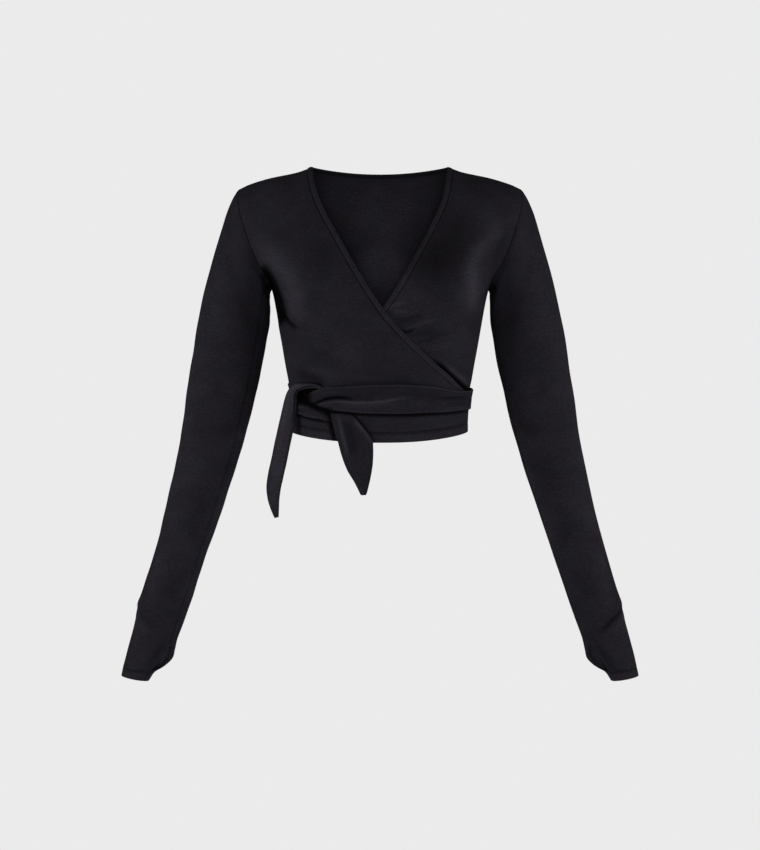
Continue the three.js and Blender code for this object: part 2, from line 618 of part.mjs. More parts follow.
function backPanel() {
  const sideColumns = 5;
  const rows = [];
  const forward = new THREE.Vector3(0, SEAM_GAP / 2, 0);
  for (let i = 0; i < UPPER_ROWS; i++) {
    const row = upperRow(i);
    const rest = row.share * row.share;
    const corner = mix(BACK_SEAM_X, ARMPIT.x * sideways(40), rest);
    const half = [];
    for (let j = 0; j <= sideColumns; j++) {
      const share = shareAcross(j, sideColumns, row, ARMPIT.x * sideways(40));
      half.push(mix(row.x, corner, share));
    }
    for (let j = 1; j <= NECK_COLUMNS; j++) {
      const atTop = BACK_SEAM_X * Math.cos(degrees((90 * j) / NECK_COLUMNS));
      half.push(mix(atTop, ARMPIT.x * sideways(40 - (40 * j) / NECK_COLUMNS), rest));
    }
    const across = [...half.map((x) => -x), ...half.slice(0, -1).reverse()];
    const vertices = across.map((x, j) => {
      const z = rowZ(row, backTop, x);
      const fromSide = Math.min(j, across.length - 1 - j);
      const u = fromSide <= sideColumns ? fromSide : sideColumns + ((fromSide - sideColumns) * 4) / NECK_COLUMNS;
      return {
        u: j < across.length / 2 ? u : 18 - u,
        outer: lifted(true, x, z, CLOTH / 2),
        inner: lifted(true, x, z, -CLOTH / 2),
      };
    });
    if (i === 0) vertices.filter((v) => Math.abs(v.outer.x) >= BACK_SEAM_X - 1).forEach((v) => nudged(v, forward));
    rows.push(vertices);
  }
  for (let r = 0; r <= LOWER_ROWS.length; r++) {
    const vertices = [];
    for (let column = 27; column >= 9; column--) {
      const u = 27 - column;
      vertices.push({
        u,
        outer: crossing(r, column, CLOTH / 2).clone(),
        inner: crossing(r, column, -CLOTH / 2).clone(),
      });
    }
    nudged(vertices[0], forward);
    nudged(vertices[vertices.length - 1], forward);
    rows.push(vertices);
  }
  return wall(rows);
}

function backBand() {
  const steps = 2 * NECK_COLUMNS;
  const rows = [];
  const sewnDrop = BACK_SEAM_DROP - SEAM_GAP;
  for (let i = 0; i <= steps; i++) {
    const turn = Math.cos((Math.PI * i) / steps);
    const vertices = [];
    for (let j = 0; j <= 2; j++) {
      const share = j / 2;
      const span = mix(BACK_SEAM_X - SEAM_GAP, NECK_HALF, share);
      const x = turn * span;
      const height = neckCurve(mix(sewnDrop, BACK_RIM_DROP, share), span, x);
      vertices.push({
        u: share,
        outer: lifted(true, x, height, BAND_CLOTH / 2),
        inner: lifted(true, x, height, -BAND_CLOTH / 2),
      });
    }
    if (i === 0 || i === steps) vertices.forEach((v) => nudged(v, new THREE.Vector3(0, SEAM_GAP / 2, 0)));
    rows.push(vertices);
  }
  return wall(rows);
}

// The armhole's edge: from the shoulder tip down the front to the armpit and up the back.
function armholeLoop(side) {
  const loop = [];
  for (let i = 0; i < 2 * UPPER_ROWS; i++) {
    const isBack = i > UPPER_ROWS;
    const row = upperRow(isBack ? 2 * UPPER_ROWS - i : i);
    const x = row.x * (i === UPPER_ROWS ? 0.99999 : 1);
    const { point, normal } = bodyPoint(isBack, side * x, row.z);
    point.x = x;
    normal.x *= side;
    if (i === 0) point.y = 0;
    loop.push({ point, normal });
  }
  return loop;
}

// The sleeve's rings of middle-surface points. The first ring stands off the armhole by the seam's gap,
// turned to the side to which the sleeve folds.
function sleeveRings(side) {
  const loop = armholeLoop(side);
  const count = loop.length;
  const frame = (ring) => {
    const outer = new THREE.Vector3(ring.outerX, 0, ring.outerZ);
    const inner = new THREE.Vector3(ring.innerX, 0, ring.innerZ);
    const across = outer.clone().sub(inner);
    const half = across.length() / 2;
    across.normalize();
    return {
      centre: outer.add(inner).multiplyScalar(0.5),
      across,
      forward: new THREE.Vector3(0, -1, 0),
      down: new THREE.Vector3(0, -1, 0).cross(across).normalize(),
      half,
    };
  };
  const armhole = frame({ outerX: SHOULDER_TIP.x, outerZ: SHOULDER_TIP.z, innerX: ARMPIT.x, innerZ: ARMPIT.z });
  const local = loop.map(({ point }) => {
    const p = point.clone().sub(armhole.centre);
    return {
      across: p.dot(armhole.across) / armhole.half,
      forward: p.dot(armhole.forward),
      down: p.dot(armhole.down),
    };
  });
  const rings = SLEEVE_RINGS.map((ring) => {
    const f = frame(ring);
    return local.map((start, i) => {
      const turn = (Math.PI * i) / UPPER_ROWS;
      const across = mix(start.across, Math.cos(turn), ring.oval) * f.half;
      const forward = mix(start.forward, Math.sin(turn) * ring.depth, ring.oval);
      return f.centre
        .clone()
        .addScaledVector(f.across, across)
        .addScaledVector(f.forward, forward)
        .addScaledVector(f.down, start.down * (1 - ring.oval));
    });
  });
  const first = loop.map(({ point, normal }, i) => {
    const along = loop[(i + 1) % count].point.clone().sub(loop[(i + count - 1) % count].point).normalize();
    const outward = along.clone().cross(normal).normalize();
    if (outward.dot(armhole.centre.clone().sub(point)) < 0) outward.negate();
    const leads = rings[0][i].clone().sub(point);
    leads.addScaledVector(along, -leads.dot(along)).normalize();
    const cosine = clamp(leads.dot(outward), -1, 1);
    const sine = Math.sqrt(1 - cosine * cosine);
    const fold = leads.dot(normal) >= 0 ? 1 : -1;
    return point
      .clone()
      .addScaledVector(outward, SEAM_GAP + (CLOTH / 2) * sine)
      .addScaledVector(normal, (fold * (CLOTH + SEAM_GAP) * (1 - cosine)) / 2);
  });
  return [first, ...rings];
}

function sleeveWall(side) {
  const rings = sleeveRings(side);
  const count = rings[0].length;
  const rows = rings.map((ring, r) =>
    ring.map((point, i) => {
      const along = ring[(i + 1) % count].clone().sub(ring[(i + count - 1) % count]);
      const before = rings[Math.max(r - 1, 0)][i];
      const after = rings[Math.min(r + 1, rings.length - 1)][i];
      const normal = after.clone().sub(before).cross(along).normalize();
      const centre = ring.reduce((sum, p) => sum.add(p), new THREE.Vector3()).divideScalar(count);
      if (normal.dot(point.clone().sub(centre)) < 0) normal.negate();
      const mirror = (p) => new THREE.Vector3(side * p.x, p.y, p.z);
      return {
        u: i,
        outer: mirror(point.clone().addScaledVector(normal, CLOTH / 2)),
        inner: mirror(point.clone().addScaledVector(normal, -CLOTH / 2)),
      };
    }),
  );
  return wall(rows, true);
}

// A prism with an oval outline that is pushed through the sleeve's wall.
function thumbCutter(side) {
  const outline = new THREE.Shape();
  outline.absellipse(0, 0, THUMB_HOLE.halfWidth, THUMB_HOLE.halfLength, 0, 2 * Math.PI);
  const geometry = new THREE.ExtrudeGeometry(outline, { depth: THUMB_HOLE.cut, bevelEnabled: false, curveSegments: 7 });
  geometry.translate(0, 0, -THUMB_HOLE.cut / 2);
  geometry.rotateZ(degrees(THUMB_HOLE.lean));
  geometry.rotateX(degrees(90));
  geometry.rotateZ(degrees(-THUMB_HOLE.turn));
  geometry.translate(THUMB_HOLE.x, THUMB_HOLE.y, THUMB_HOLE.z);
  if (side < 0) {
    geometry.scale(-1, 1, 1);
    const plain = geometry.index ? geometry.toNonIndexed() : geometry;
    const turned = [];
    for (let i = 0; i < plain.attributes.position.count; i += 3) turned.push(i, i + 2, i + 1);
    plain.setIndex(turned);
    return plain;
  }
  return geometry;
}

// A strip of sash on the body, from a table of stations round it.
function sashOnBody(table) {
  const divisions = 4;
  const rising = table[0].angle < table[table.length - 1].angle;
  const rows = rising ? table : [...table].reverse();
  const first = rows[0].angle;
  const last = rows[rows.length - 1].angle;
  const stations = [first];
  for (let a = Math.floor(first / COLUMN_STEP + 1.15) * COLUMN_STEP; a < last - 1.5; a += COLUMN_STEP) stations.push(a);
  stations.push(last);
  return wall(
    stations.map((angle) => {
      const value = (column) => along(rows, "angle", column, angle);
      const top = value("top");
      const bottom = value("bottom");
      const foldLine = rows[0].fold === undefined ? 0.5 : value("foldLine");
      const fold = rows[0].fold === undefined ? 0 : value("fold");
      const shares = [0, foldLine / 2, foldLine - 0.02, foldLine + 0.06, (1 + foldLine) / 2, 1];
      const even = Array.from({ length: divisions + 1 }, (_, i) => i / divisions);
      const list = rows[0].fold === undefined ? even : shares;
      return list.map((share) => {
        const z = mix(top, bottom, share);
        const edge = Math.pow(Math.abs(2 * share - 1), 3);
        const half = (SASH_CLOTH / 2) * (1 - 0.4 * edge);
        const proud = share > foldLine ? 1.4 * fold : 0;
        const off = value("off");
        const at = (distance) => onGrid(angle, z, Math.round(distance * 1e3) / 1e3);
        return { u: share, outer: at(off + half + proud), inner: at(off - half) };
      });
    }),
  );
}

// A free strip through stations with a centre, a facing direction, a half width and a thickness.
function freeStrip(table) {
  const centres = table.map((s) => (s.y === undefined ? onGrid(angleAt(s.x, s.z), s.z, s.off) : new THREE.Vector3(s.x, s.y, s.z)));
  const shares = [-1, -0.5, 0, 0.5, 1];
  return wall(
    table.map((s, i) => {
      const before = centres[Math.max(i - 1, 0)];
      const after = centres[Math.min(i + 1, centres.length - 1)];
      const ahead = after.clone().sub(before).normalize();
      const facing = new THREE.Vector3(s.faceX, -Math.sqrt(1 - s.faceX * s.faceX), 0);
      const across = ahead.clone().cross(facing).normalize();
      const out = across.clone().cross(ahead).normalize();
      return shares.map((share) => {
        const half = (s.thick / 2) * (1 - 0.45 * Math.pow(Math.abs(share), 3));
        const middle = centres[i].clone().addScaledVector(across, share * s.half);
        return {
          u: share,
          outer: middle.clone().addScaledVector(out, half),
          inner: middle.clone().addScaledVector(out, -half),
        };
      });
    }),
  );
}

// The short end lies on the body down to the hem and then hangs straight.
function shortEnd() {
  const shares = [0, 0.14, 0.26, 0.34, 0.6, 0.82, 1];
  const lowest = HEM.side - 1;
  return wall(
    SHORT_END.map((s) =>
      shares.map((share) => {
        const x = mix(s.left, s.right, share);
        const z = Math.max(s.z, lowest);
        const edge = Math.pow(Math.abs(2 * share - 1), 3);
        const half = (SASH_CLOTH / 2) * (1 - 0.4 * edge);
        const proud = share < 0.3 ? 1.3 * s.fold : 0;
        const drop = new THREE.Vector3(0, 0, s.z - z);
        const at = (distance) => {
          const surface = onGrid(angleAt(x, z), z, 1);
          const outward = onGrid(angleAt(x, z), z, 2).sub(surface);
          return surface.addScaledVector(outward, distance - 1).add(drop);
        };
        return { u: share, outer: at(s.off + half + proud), inner: at(s.off - half) };
      }),
    ),
  );
}

const wasm = await Module();
wasm.setup();

function solid(geometry) {
  const plain = geometry.clone();
  plain.deleteAttribute("normal");
  plain.deleteAttribute("uv");
  const merged = mergeVertices(plain, 1e-4);
  return new wasm.Manifold(
    new wasm.Mesh({
      numProp: 3,
      vertProperties: merged.attributes.position.array,
      triVerts: new Uint32Array(merged.index.array),
    }),
  );
}

function geometryOf(manifold) {
  const mesh = manifold.getMesh();
  return new THREE.BufferGeometry()
    .setAttribute("position", new THREE.BufferAttribute(mesh.vertProperties, 3))
    .setIndex(new THREE.BufferAttribute(mesh.triVerts, 1));
}

function sleeve(side) {
  return geometryOf(solid(sleeveWall(side)).subtract(solid(thumbCutter(side))));
}

const jersey = new THREE.MeshStandardMaterial({ color: 0x1f1d22, roughness: 0.85, metalness: 0 });
const bandJersey = new THREE.MeshStandardMaterial({ color: 0x232126, roughness: 0.85, metalness: 0 });
const sashJersey = new THREE.MeshStandardMaterial({ color: 0x1e1c21, roughness: 0.82, metalness: 0 });

const wrapTop = new THREE.Group();

function add(name, geometry, material) {
  geometry.computeVertexNormals();
  const mesh = new THREE.Mesh(geometry, material);
  mesh.name = name;
  wrapTop.add(mesh);
}

add("back", backPanel(), jersey);
add("front_over", frontPanel(1, true, OVER_EDGE), jersey);
add("front_under", frontPanel(-1, false, UNDER_EDGE), jersey);
add("sleeve_right", sleeve(-1), jersey);
add("sleeve_left", sleeve(1), jersey);
add("neck_band_over", frontBand(1, true, OVER_EDGE), bandJersey);
add("neck_band_under", frontBand(-1, false, UNDER_EDGE), bandJersey);
add("neck_band_back", backBand(), bandJersey);
add("sash_front", sashOnBody(SASH_FRONT), sashJersey);
add("tie_outer_back", sashOnBody(TIE_OUTER), sashJersey);
add("tie_inner_back", sashOnBody(TIE_INNER), sashJersey);
add("sash_end_long", freeStrip(LONG_END), sashJersey);
add("sash_end_short", shortEnd(), sashJersey);

export default wrapTop;
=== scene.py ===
import math

import bmesh
import bpy
import numpy as np
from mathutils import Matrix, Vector
from mathutils.bvhtree import BVHTree


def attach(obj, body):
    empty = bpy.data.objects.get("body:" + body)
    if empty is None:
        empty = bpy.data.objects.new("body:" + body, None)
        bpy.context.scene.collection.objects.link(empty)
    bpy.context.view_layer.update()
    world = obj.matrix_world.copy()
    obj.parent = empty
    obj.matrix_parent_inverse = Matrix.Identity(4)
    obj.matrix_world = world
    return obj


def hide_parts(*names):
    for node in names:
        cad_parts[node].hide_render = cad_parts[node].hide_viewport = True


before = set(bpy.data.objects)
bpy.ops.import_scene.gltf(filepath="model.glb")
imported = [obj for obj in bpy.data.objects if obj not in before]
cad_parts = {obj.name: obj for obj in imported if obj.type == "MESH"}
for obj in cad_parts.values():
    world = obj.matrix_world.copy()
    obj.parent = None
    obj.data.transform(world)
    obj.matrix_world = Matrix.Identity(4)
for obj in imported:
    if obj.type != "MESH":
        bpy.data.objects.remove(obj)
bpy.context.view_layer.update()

MM = 0.001
SEED = 11

# Looks, as linear colours
JERSEY = (0.0136, 0.0123, 0.0159)
BAND_JERSEY = (0.0155, 0.014, 0.018)
SASH_JERSEY = (0.0128, 0.0116, 0.0151)
THREAD = (0.012, 0.0105, 0.014)
WARM_DYE, COOL_DYE = (1.055, 0.975, 0.995), (0.955, 1.025, 1.02)
RELIEF_PAINTED_SHADING = 0.16  # painted shading from relief: how much lighter a millimetre of ridge, and darker one of valley, is painted, as a power of e
GLOSS = 0.015
SHEEN, SHEEN_ROUGHNESS, SHEEN_TINT = 0.004, 0.45, (0.8, 0.76, 0.88, 1)
SLUB = 0.4  # how much lighter the thick yarn looks
INSIDE_PAINTED_LIGHT = 0.72  # painted light on the back's inner face, seen through the neck opening, as a power of e

# Jersey's surface: noises by repeats in a metre along its courses and across them, detail and roughness
STREAKS = (110, 600, 3, 0.6)
MOTTLE = (34, 60, 2, 0.5)
FINE = (1300, 1700, 1, 0.5)
GRAIN = (330, 460, 2, 0.7)
HUE = (26, 30, 2, 0.6)
WALES, COURSES = 330, 250
KNIT_BUMP, KNIT_DEPTH = 0.35, 0.00022

# Stage: what the camera sees of the backdrop, and what the room sends on to the cloth
BACKDROP = 0.8308
WORLD_LIGHT = 0.13
FLOOR_LIGHT = 0.3
FLOOR_HALF, FLOOR_Z = 30, -1.35
LIGHTS = (  # name, place, width and height, and power
    ("light_front", (0.0, -3.4, -0.2), (1.4, 0.8), 38),
    ("light_left", (-2.3, -0.8, -0.3), (1.6, 2.4), 42),
    ("light_right", (2.3, -0.8, -0.3), (1.6, 2.4), 42),
)
TARGET = (0, 0, -0.346)
DISTANCE, ELEVATION, LENS, SENSOR = 3.187, 4, 100, 36


def named(columns, *rows):
    """A table as one array for each named column."""
    return {name: np.array([row[i] for row in rows], float) for i, name in enumerate(columns.split())}


# Cloth
CLOTH = 0.9  # one layer of jersey
BAND_CLOTH = 1.9  # the neck band, folded double
SASH_CLOTH = 1.8
LAYER_STEP = 2.5  # from the middle of the under front to the middle of the over front
BAND_WIDTH = 7.2
SEAM_DEPTH = 0.6  # how far a seam draws the cloth in
SEAM_REACH = 2.0  # how far from the seam that shows
SEAM_PARTING = 0.12
HEM_STITCH = (10.6, 13.2)  # the two rows of a twin needle, above the edge
HEM_TURN = 14.5  # depth of the turned hem
HEM_TROUGH, HEM_TROUGH_SPREAD = 0.35, 0.7  # how deep a stitched row of a hem sinks in, and how wide
HEM_ROW_SHADES, HEM_ROW_SPREAD = (0.5, 1.3), 0.8  # painted shade in the two stitched rows: how dark they are painted
HEM_PAINTED_HIGHLIGHT = 0.16  # a painted highlight: how much lighter the turned cloth below the stitching is painted
HEM_LIP, HEM_LIP_REACH = 0.25, 0.8  # rounding of the edge itself
HEM_FOLD = 0.5  # how much thicker a turned hem is, on its inner side
SEAM_SHADE, SEAM_SHADE_REACH = 1.1, 1.3  # the dark line in a seam
SEAM_ROWS = np.array([0, 0.25, 0.6, 1.1, 1.8, 2.8])  # distances of the rows of points beside a seam
BAND_STITCH = 1.7  # topstitching, from the neck band's seam
BAND_GROOVE, BAND_GROOVE_SPREAD = 0.3, 0.6
BAND_LIP, BAND_LIP_REACH = 0.55, 1.3  # rounding of the band's free edge
BAND_CROWN, BACK_BAND_CROWN = 0.25, 0.2
BAND_PULL = 1.2  # the band's seam is drawn in that much more than another
BAND_END_ROW = 60  # rows below the armpit at which a front's band ends
UNDERARM_DIP, UNDERARM_DIP_SPREAD = 0.5, 1.4
UNDERARM_SHADE, UNDERARM_SHADE_SPREAD = 0.5, 1.2
EDGE_PAINTED_HIGHLIGHT, EDGE_PAINTED_HIGHLIGHT_Z = 0.5, (-262, -215)  # a painted highlight on a front's edge beside the band, below these heights
PAINTED_SHADING_RANGE = (-5, 2)  # the darkest painted shade and the lightest painted highlight, as powers of e
FAR = 50.0  # a distance at which no seam shows

# Body landmarks
NECK_HALF = 90
SHOULDER_TIP_X, SHOULDER_TIP_Z = 190, -30.5
ARMPIT_X, ARMPIT_Z = 145.5, -163
ARMHOLE_DEPTH = 45
SHOULDER_ROUND = 72
SECTION_POWER = 2.3
HEM_SIDE, HEM_FRONT_DIP, HEM_BACK_DIP = -353.8, 9, 2.5
FLARE, FLARE_ABOVE, FLARE_BELOW = 0.038, -294, -334
HEM_BLEND = (-318, -338)  # rows are level above the first height and follow the hem below the second
OVERLAP_END = 85
BACK_SEAM_X = NECK_HALF + BAND_WIDTH + 0.3
BACK_RIM_DROP, BACK_SEAM_DROP = 7.4, 9.6  # how far the back neck's rim and seam sag below the neck points
BACK_CORNER = 40  # degrees from the middle of the back to where the side part starts
BACK_PARTS = ((-1, 34), (0, 84), (1, 34))  # the sides and the middle of the back, and their columns
ARMHOLE_HALF = (SHOULDER_TIP_Z - ARMPIT_Z) / 2
CROSSED_BELOW, CROSSED_ABOVE = -178, -110  # the fronts lie in two full layers below, and in one level above
SIDE_SHARE = 0.99999  # panels end this close to the plane of the side seams
SLOPE_FROM = -150  # above this height rows start to slope with the shoulder
FOLD_FADE = (0.12, 0.6)  # folds die out over these shares of the depth, towards the sides
ROWS_ABOVE, ROWS_BELOW = 60, 102  # rows from the shoulder to the armpit, and on to the hem
FRONT_COLUMNS = 128

SECTIONS = named(
    "z half_width front back",
    (-372, 116, 92, 79),
    (-340, 116, 94, 80),
    (-312, 117.5, 96, 82),
    (-285, 123, 101, 86),
    (-250, 129, 110, 91),
    (-222, 134, 115, 95),
    (-190, 139.5, 114, 99),
    (ARMPIT_Z, ARMPIT_X, 110, 102),
    (-128, 165, 103, 104),
    (-80, 190, 92, 103),
    (-30, 212, 84, 98),
    (20, 216, 80, 93),
)
SHOULDER = named(
    "x z",
    (0, 12),
    (18, 11.6),
    (45, 7.8),
    (NECK_HALF, -0.3),
    (110, -7),
    (147, -15),
    (174, -23.2),
    (SHOULDER_TIP_X, SHOULDER_TIP_Z),
    (230, -46),
)
ARMHOLE = named(
    "z x",
    (ARMPIT_Z, ARMPIT_X),
    (-151, 148.5),
    (-129, 161),
    (-106, 171),
    (-81, 179.5),
    (-60, 186),
    (-45, 188.8),
    (SHOULDER_TIP_Z, SHOULDER_TIP_X),
)
# The neck edge of each front, from its own neck point across; x counts towards the side it crosses to
OVER_EDGE = named(
    "z x",
    (-301, 120.5),
    (-299.4, 115.2),
    (-297, 111),
    (-291, 105),
    (-276, 91.4),
    (-256, 70),
    (-235, 48.5),
    (-208, 22),
    (-182, 0.8),
    (-160, -14),
    (-139, -27),
    (-95, -52),
    (-46, -78),
    (-20, -86.5),
    (0, -NECK_HALF),
)
UNDER_EDGE = named(
    "z x",
    (-300, 105),
    (-276, 80),
    (-235, 40),
    (-208, 16),
    (-182, -5),
    (-151, -26),
    (-115, -46),
    (-72, -69),
    (-39, -83),
    (0, -NECK_HALF),
)
# Large soft folds and fullness: ridges are above 0, valleys below
FRONT_FOLDS = named(
    "from_x from_z to_x to_z height spread",
    (178, -60, 133, -165, 3.2, 10),
    (152, -62, 106, -126, -2.6, 11),
    (-164, -96, -104, -212, 2.2, 12),
    (-136, -166, -124, -208, -2.4, 8),
    (-72, -226, -72, -236, 8, 42),
    (72, -226, 72, -236, 8, 42),
)
BACK_FOLDS = named(
    "from_x from_z to_x to_z height spread",
    (0, -120, 0, -300, -4, 26),
    (-96, -205, -40, -262, -2, 11),
    (96, -205, 40, -262, -2, 11),
)
# Creases: height, spread to the left and to the right of the line's direction, and the line through x, z
FRONT_CREASES = [
    (1.5, 9, 10, [
        (-169, -92), (-150, -109), (-134, -130), (-118, -147),
        (-110, -169), (-107, -185), (-96, -210),
    ]),
    (-3.4, 3.4, 6, [(-152, -140), (-144, -162), (-138, -180), (-133, -193), (-122, -206)]),
    (-1.3, 2.4, 3.4, [(-132, -191), (-119, -206), (-104, -216)]),
    (-1.8, 7, 4, [(171, -70), (162, -100), (154, -122), (149, -150)]),
    (2.3, 8, 8, [
        (160, -74), (149, -87), (136, -101), (123, -117),
        (119, -133), (120, -152), (121, -174), (119, -198),
    ]),
    (-1.2, 12, 12, [(112, -92), (98, -112), (73, -130), (60, -150)]),
    (-0.8, 12, 14, [(-60, -96), (-78, -126), (-70, -160)]),
    (0.7, 8, 11, [(-96, -228), (-60, -240), (-20, -242)]),
    (-0.8, 6, 7, [(-104, -234), (-73, -249), (-50, -266)]),
    (-1.0, 3, 4, [(-114, -271), (-84, -279), (-68, -286)]),
    (0.7, 5, 6, [(-108, -262), (-78, -271), (-46, -276)]),
    (-0.6, 5, 6, [(-20, -266), (14, -274), (44, -278)]),
    (0.7, 5, 7, [(104, -206), (117, -226), (118, -252)]),
    (0.6, 5, 8, [(-112, -232), (-118, -252), (-114, -278)]),
]
# Gathers of the under front, which run from the crossing of the fronts to the wearer's left, and the gap
# that opens under the low end of the crossing
UNDER_CREASES = [
    (0.9, 2, 3, [(6, -190), (9, -186), (19, -181), (32, -178)]),
    (0.8, 2, 2.5, [(15, -191), (26, -189), (38, -190)]),
    (-0.6, 2, 2, [(14, -194), (22, -198), (30, -201), (38, -197), (56, -193)]),
    (1.0, 3, 3, [(28, -214), (36, -212), (44, -209), (52, -205), (72, -202)]),
    (-1.4, 1.3, 1.6, [(25, -214), (32, -216), (37, -215.5), (44, -212)]),
    (-0.7, 2, 3, [(44, -221), (59, -218), (72, -219), (92, -219)]),
    (-0.8, 1.6, 2.6, [(46, -231), (59, -228), (76, -223)]),
    (0.8, 4, 5, [(52, -240), (74, -236), (102, -228)]),
    (-3.4, 2.4, 5, [(66, -251), (82, -266.5), (94, -277.5), (105.5, -288), (115, -297), (128, -308)]),
    (1.2, 2, 2.5, [(80, -256), (92, -267), (104, -277), (116, -287)]),
]
BACK_CREASES = [
    (1.0, 8, 10, [(-150, -100), (-128, -140), (-118, -186)]),
    (1.1, 9, 8, [(152, -96), (130, -138), (117, -190)]),
    (-1.0, 6, 8, [(-139, -150), (-126, -184), (-112, -212)]),
    (-1.1, 7, 6, [(140, -148), (127, -180), (110, -214)]),
    (0.8, 6, 9, [(-104, -222), (-64, -240), (-22, -246)]),
    (-0.8, 6, 7, [(-98, -244), (-60, -256), (-26, -262)]),
    (0.8, 7, 8, [(100, -228), (62, -244), (24, -250)]),
    (-0.7, 6, 6, [(96, -252), (56, -264), (20, -268)]),
    (0.6, 10, 10, [(-60, -60), (-74, -100), (-70, -150)]),
    (0.6, 10, 10, [(62, -58), (76, -98), (70, -148)]),
]

# Painted highlights and painted shade, where light falls on folds and where shadows lie: strength, spreads
# and the line
FRONT_SHADES = [
    (0.32, 10, 11, [
        (-169, -92), (-150, -109), (-134, -130), (-118, -147),
        (-110, -169), (-107, -185), (-96, -210),
    ]),
    (-6, 4.4, 9, [
        (-156.5, -130), (-146.5, -150), (-140, -165),
        (-134.5, -180), (-131.5, -192), (-136, -212),
    ]),
    (-1.5, 1.8, 2.2, [(-136, -187), (-127, -197), (-119, -206), (-108, -214)]),
    (0.4, 9, 10, [
        (164, -68), (149, -87), (136, -101), (123, -117),
        (119, -133), (120, -152), (121, -174), (119, -198),
    ]),
    (-0.66, 28, 28, [(128, -60), (100, -96), (66, -126), (40, -156)]),
    (-0.2, 26, 26, [(-110, -60), (-84, -96), (-60, -150)]),
    (0.24, 20, 20, [(-176, -30), (-130, -18), (-88, -4)]),
    (-0.35, 4, 5, [(-114, -271), (-84, -279), (-68, -286)]),
    (-0.35, 2.5, 2, [(-60, -284.5), (-32, -283.5), (0, -282.5), (28, -282.5), (61, -287), (93, -294)]),
    (-4.5, 4, 6, [(-112, -308), (-109, -302), (-101, -295), (-88, -292), (-74, -290)]),
    (-4, 6, 6, [(-108, -296), (-103, -304), (-96, -309), (-86, -313)]),
    (-2.8, 1.1, 1.3, [
        (-122, -325), (-107, -328.8), (-96, -331.8),
        (-87, -333.3), (-78, -334.6), (-66, -337),
    ]),
    (-3.2, 1.9, 2.4, [(-69, -312), (-65, -334), (-60.5, -350), (-57, -368)]),
    (-1.6, 1.6, 1.2, [(-40, -321), (-31, -331.5), (-22.5, -341), (-13.5, -354), (-8, -366)]),
    (-3.2, 1.3, 1.5, [
        (-66, -321), (-58, -322.4), (-30, -324.6), (0, -325.9),
        (30, -326), (70, -325), (104, -324.6), (134, -324),
    ]),
]
# Painted shade on the back's inner face along the neck opening's edges and its top, where the fronts shade
# it, and a painted highlight low in the opening
INSIDE_SHADES = [
    (-0.55, 5, 5, [(-95, 6), (-90, -14), (-82, -48), (-56, -98), (-30, -142), (-6, -180)]),
    (-0.55, 5, 5, [(95, 6), (91, -10), (86, -40), (72, -76), (50, -120), (29, -158), (8, -190)]),
    (-0.35, 5, 6, [(-110, 0), (-50, -2), (0, -3), (50, -2), (110, 0)]),
    (0.6, 24, 24, [(-34, -110), (0, -172), (34, -110)]),
]
# Painted shade in the gap under the low end of the crossing, and painted highlights and shade on the under
# front's gathers
UNDER_SHADES = [
    (-0.8, 1.2, 3, [(52, -237), (64, -249), (76, -260), (90, -272)]),
    (-5, 2.1, 3.2, [(72, -256), (84, -267.5), (94.2, -277.5), (105.5, -288), (115.4, -296.7), (131, -310)]),
    (0.45, 2, 2.4, [(84, -259), (98, -271), (110, -281.5), (122, -292)]),
    (0.35, 2.2, 3, [(4, -190), (12, -185), (22, -180.5), (36, -177)]),
    (0.3, 1.6, 2, [(14, -192), (26, -189.5), (40, -190)]),
    (-0.22, 1.6, 1.8, [(12, -196), (22, -199), (30, -202), (40, -198), (58, -193)]),
    (0.3, 2.6, 3, [(27, -214.5), (38, -211.5), (48, -207.5), (60, -203.5), (76, -201)]),
    (-1.3, 0.9, 1.2, [(24, -214), (31, -216.6), (38, -216), (46, -212)]),
    (-0.2, 2.4, 3, [(44, -221), (59, -218), (72, -219), (92, -219)]),
    (-0.3, 1.4, 2.2, [(46, -231), (59, -228), (76, -223)]),
    (-0.2, 8, 10, [(20, -200), (50, -212), (86, -214)]),
]
# Painted shade on the belt at its end under the long end's arch and along its lower left edge, and painted
# highlights on its fold
BELT_SHADES = [
    (-0.22, 5, 5, [(-90, -298), (-50, -294), (0, -293), (60, -298), (110, -304)]),
    (0.55, 0.9, 1.7, [
        (-84, -314), (-70, -308.4), (-54, -305.8), (-34, -307.4),
        (-16, -308), (3, -306.6), (30, -301.5), (48, -299),
    ]),
    (-2.6, 1.4, 1, [
        (-96, -316), (-86, -312), (-79, -307.6), (-71, -304.2),
        (-58, -302), (-46, -302.4), (-34, -304),
    ]),
    (-0.3, 5, 3, [(60, -300), (88, -306), (122, -308)]),
    (0.18, 5, 5, [(-60, -313), (-30, -315), (0, -315), (30, -312)]),
    (-4.2, 5.5, 5.5, [(-108, -280), (-101.5, -294), (-100, -302), (-100, -310), (-97, -326)]),
    (-3.6, 1.7, 1.7, [(-104, -306.5), (-94, -311.5), (-84, -315.5), (-74, -318), (-60, -320)]),
]
# Painted shadow of the belt on the strand below it, and a painted highlight along the strand
STRAND_SHADES = [
    (-1.8, 3, 3, [(-70, -316), (-66.5, -326), (-63, -338)]),
    (-4, 3, 3, [(-122, -311), (-106, -309), (-94, -311.5), (-84, -315.5), (-74, -319.5), (-62, -326)]),
    (0.3, 1.6, 2, [(-112, -319), (-100, -316.5), (-88, -320)]),
]

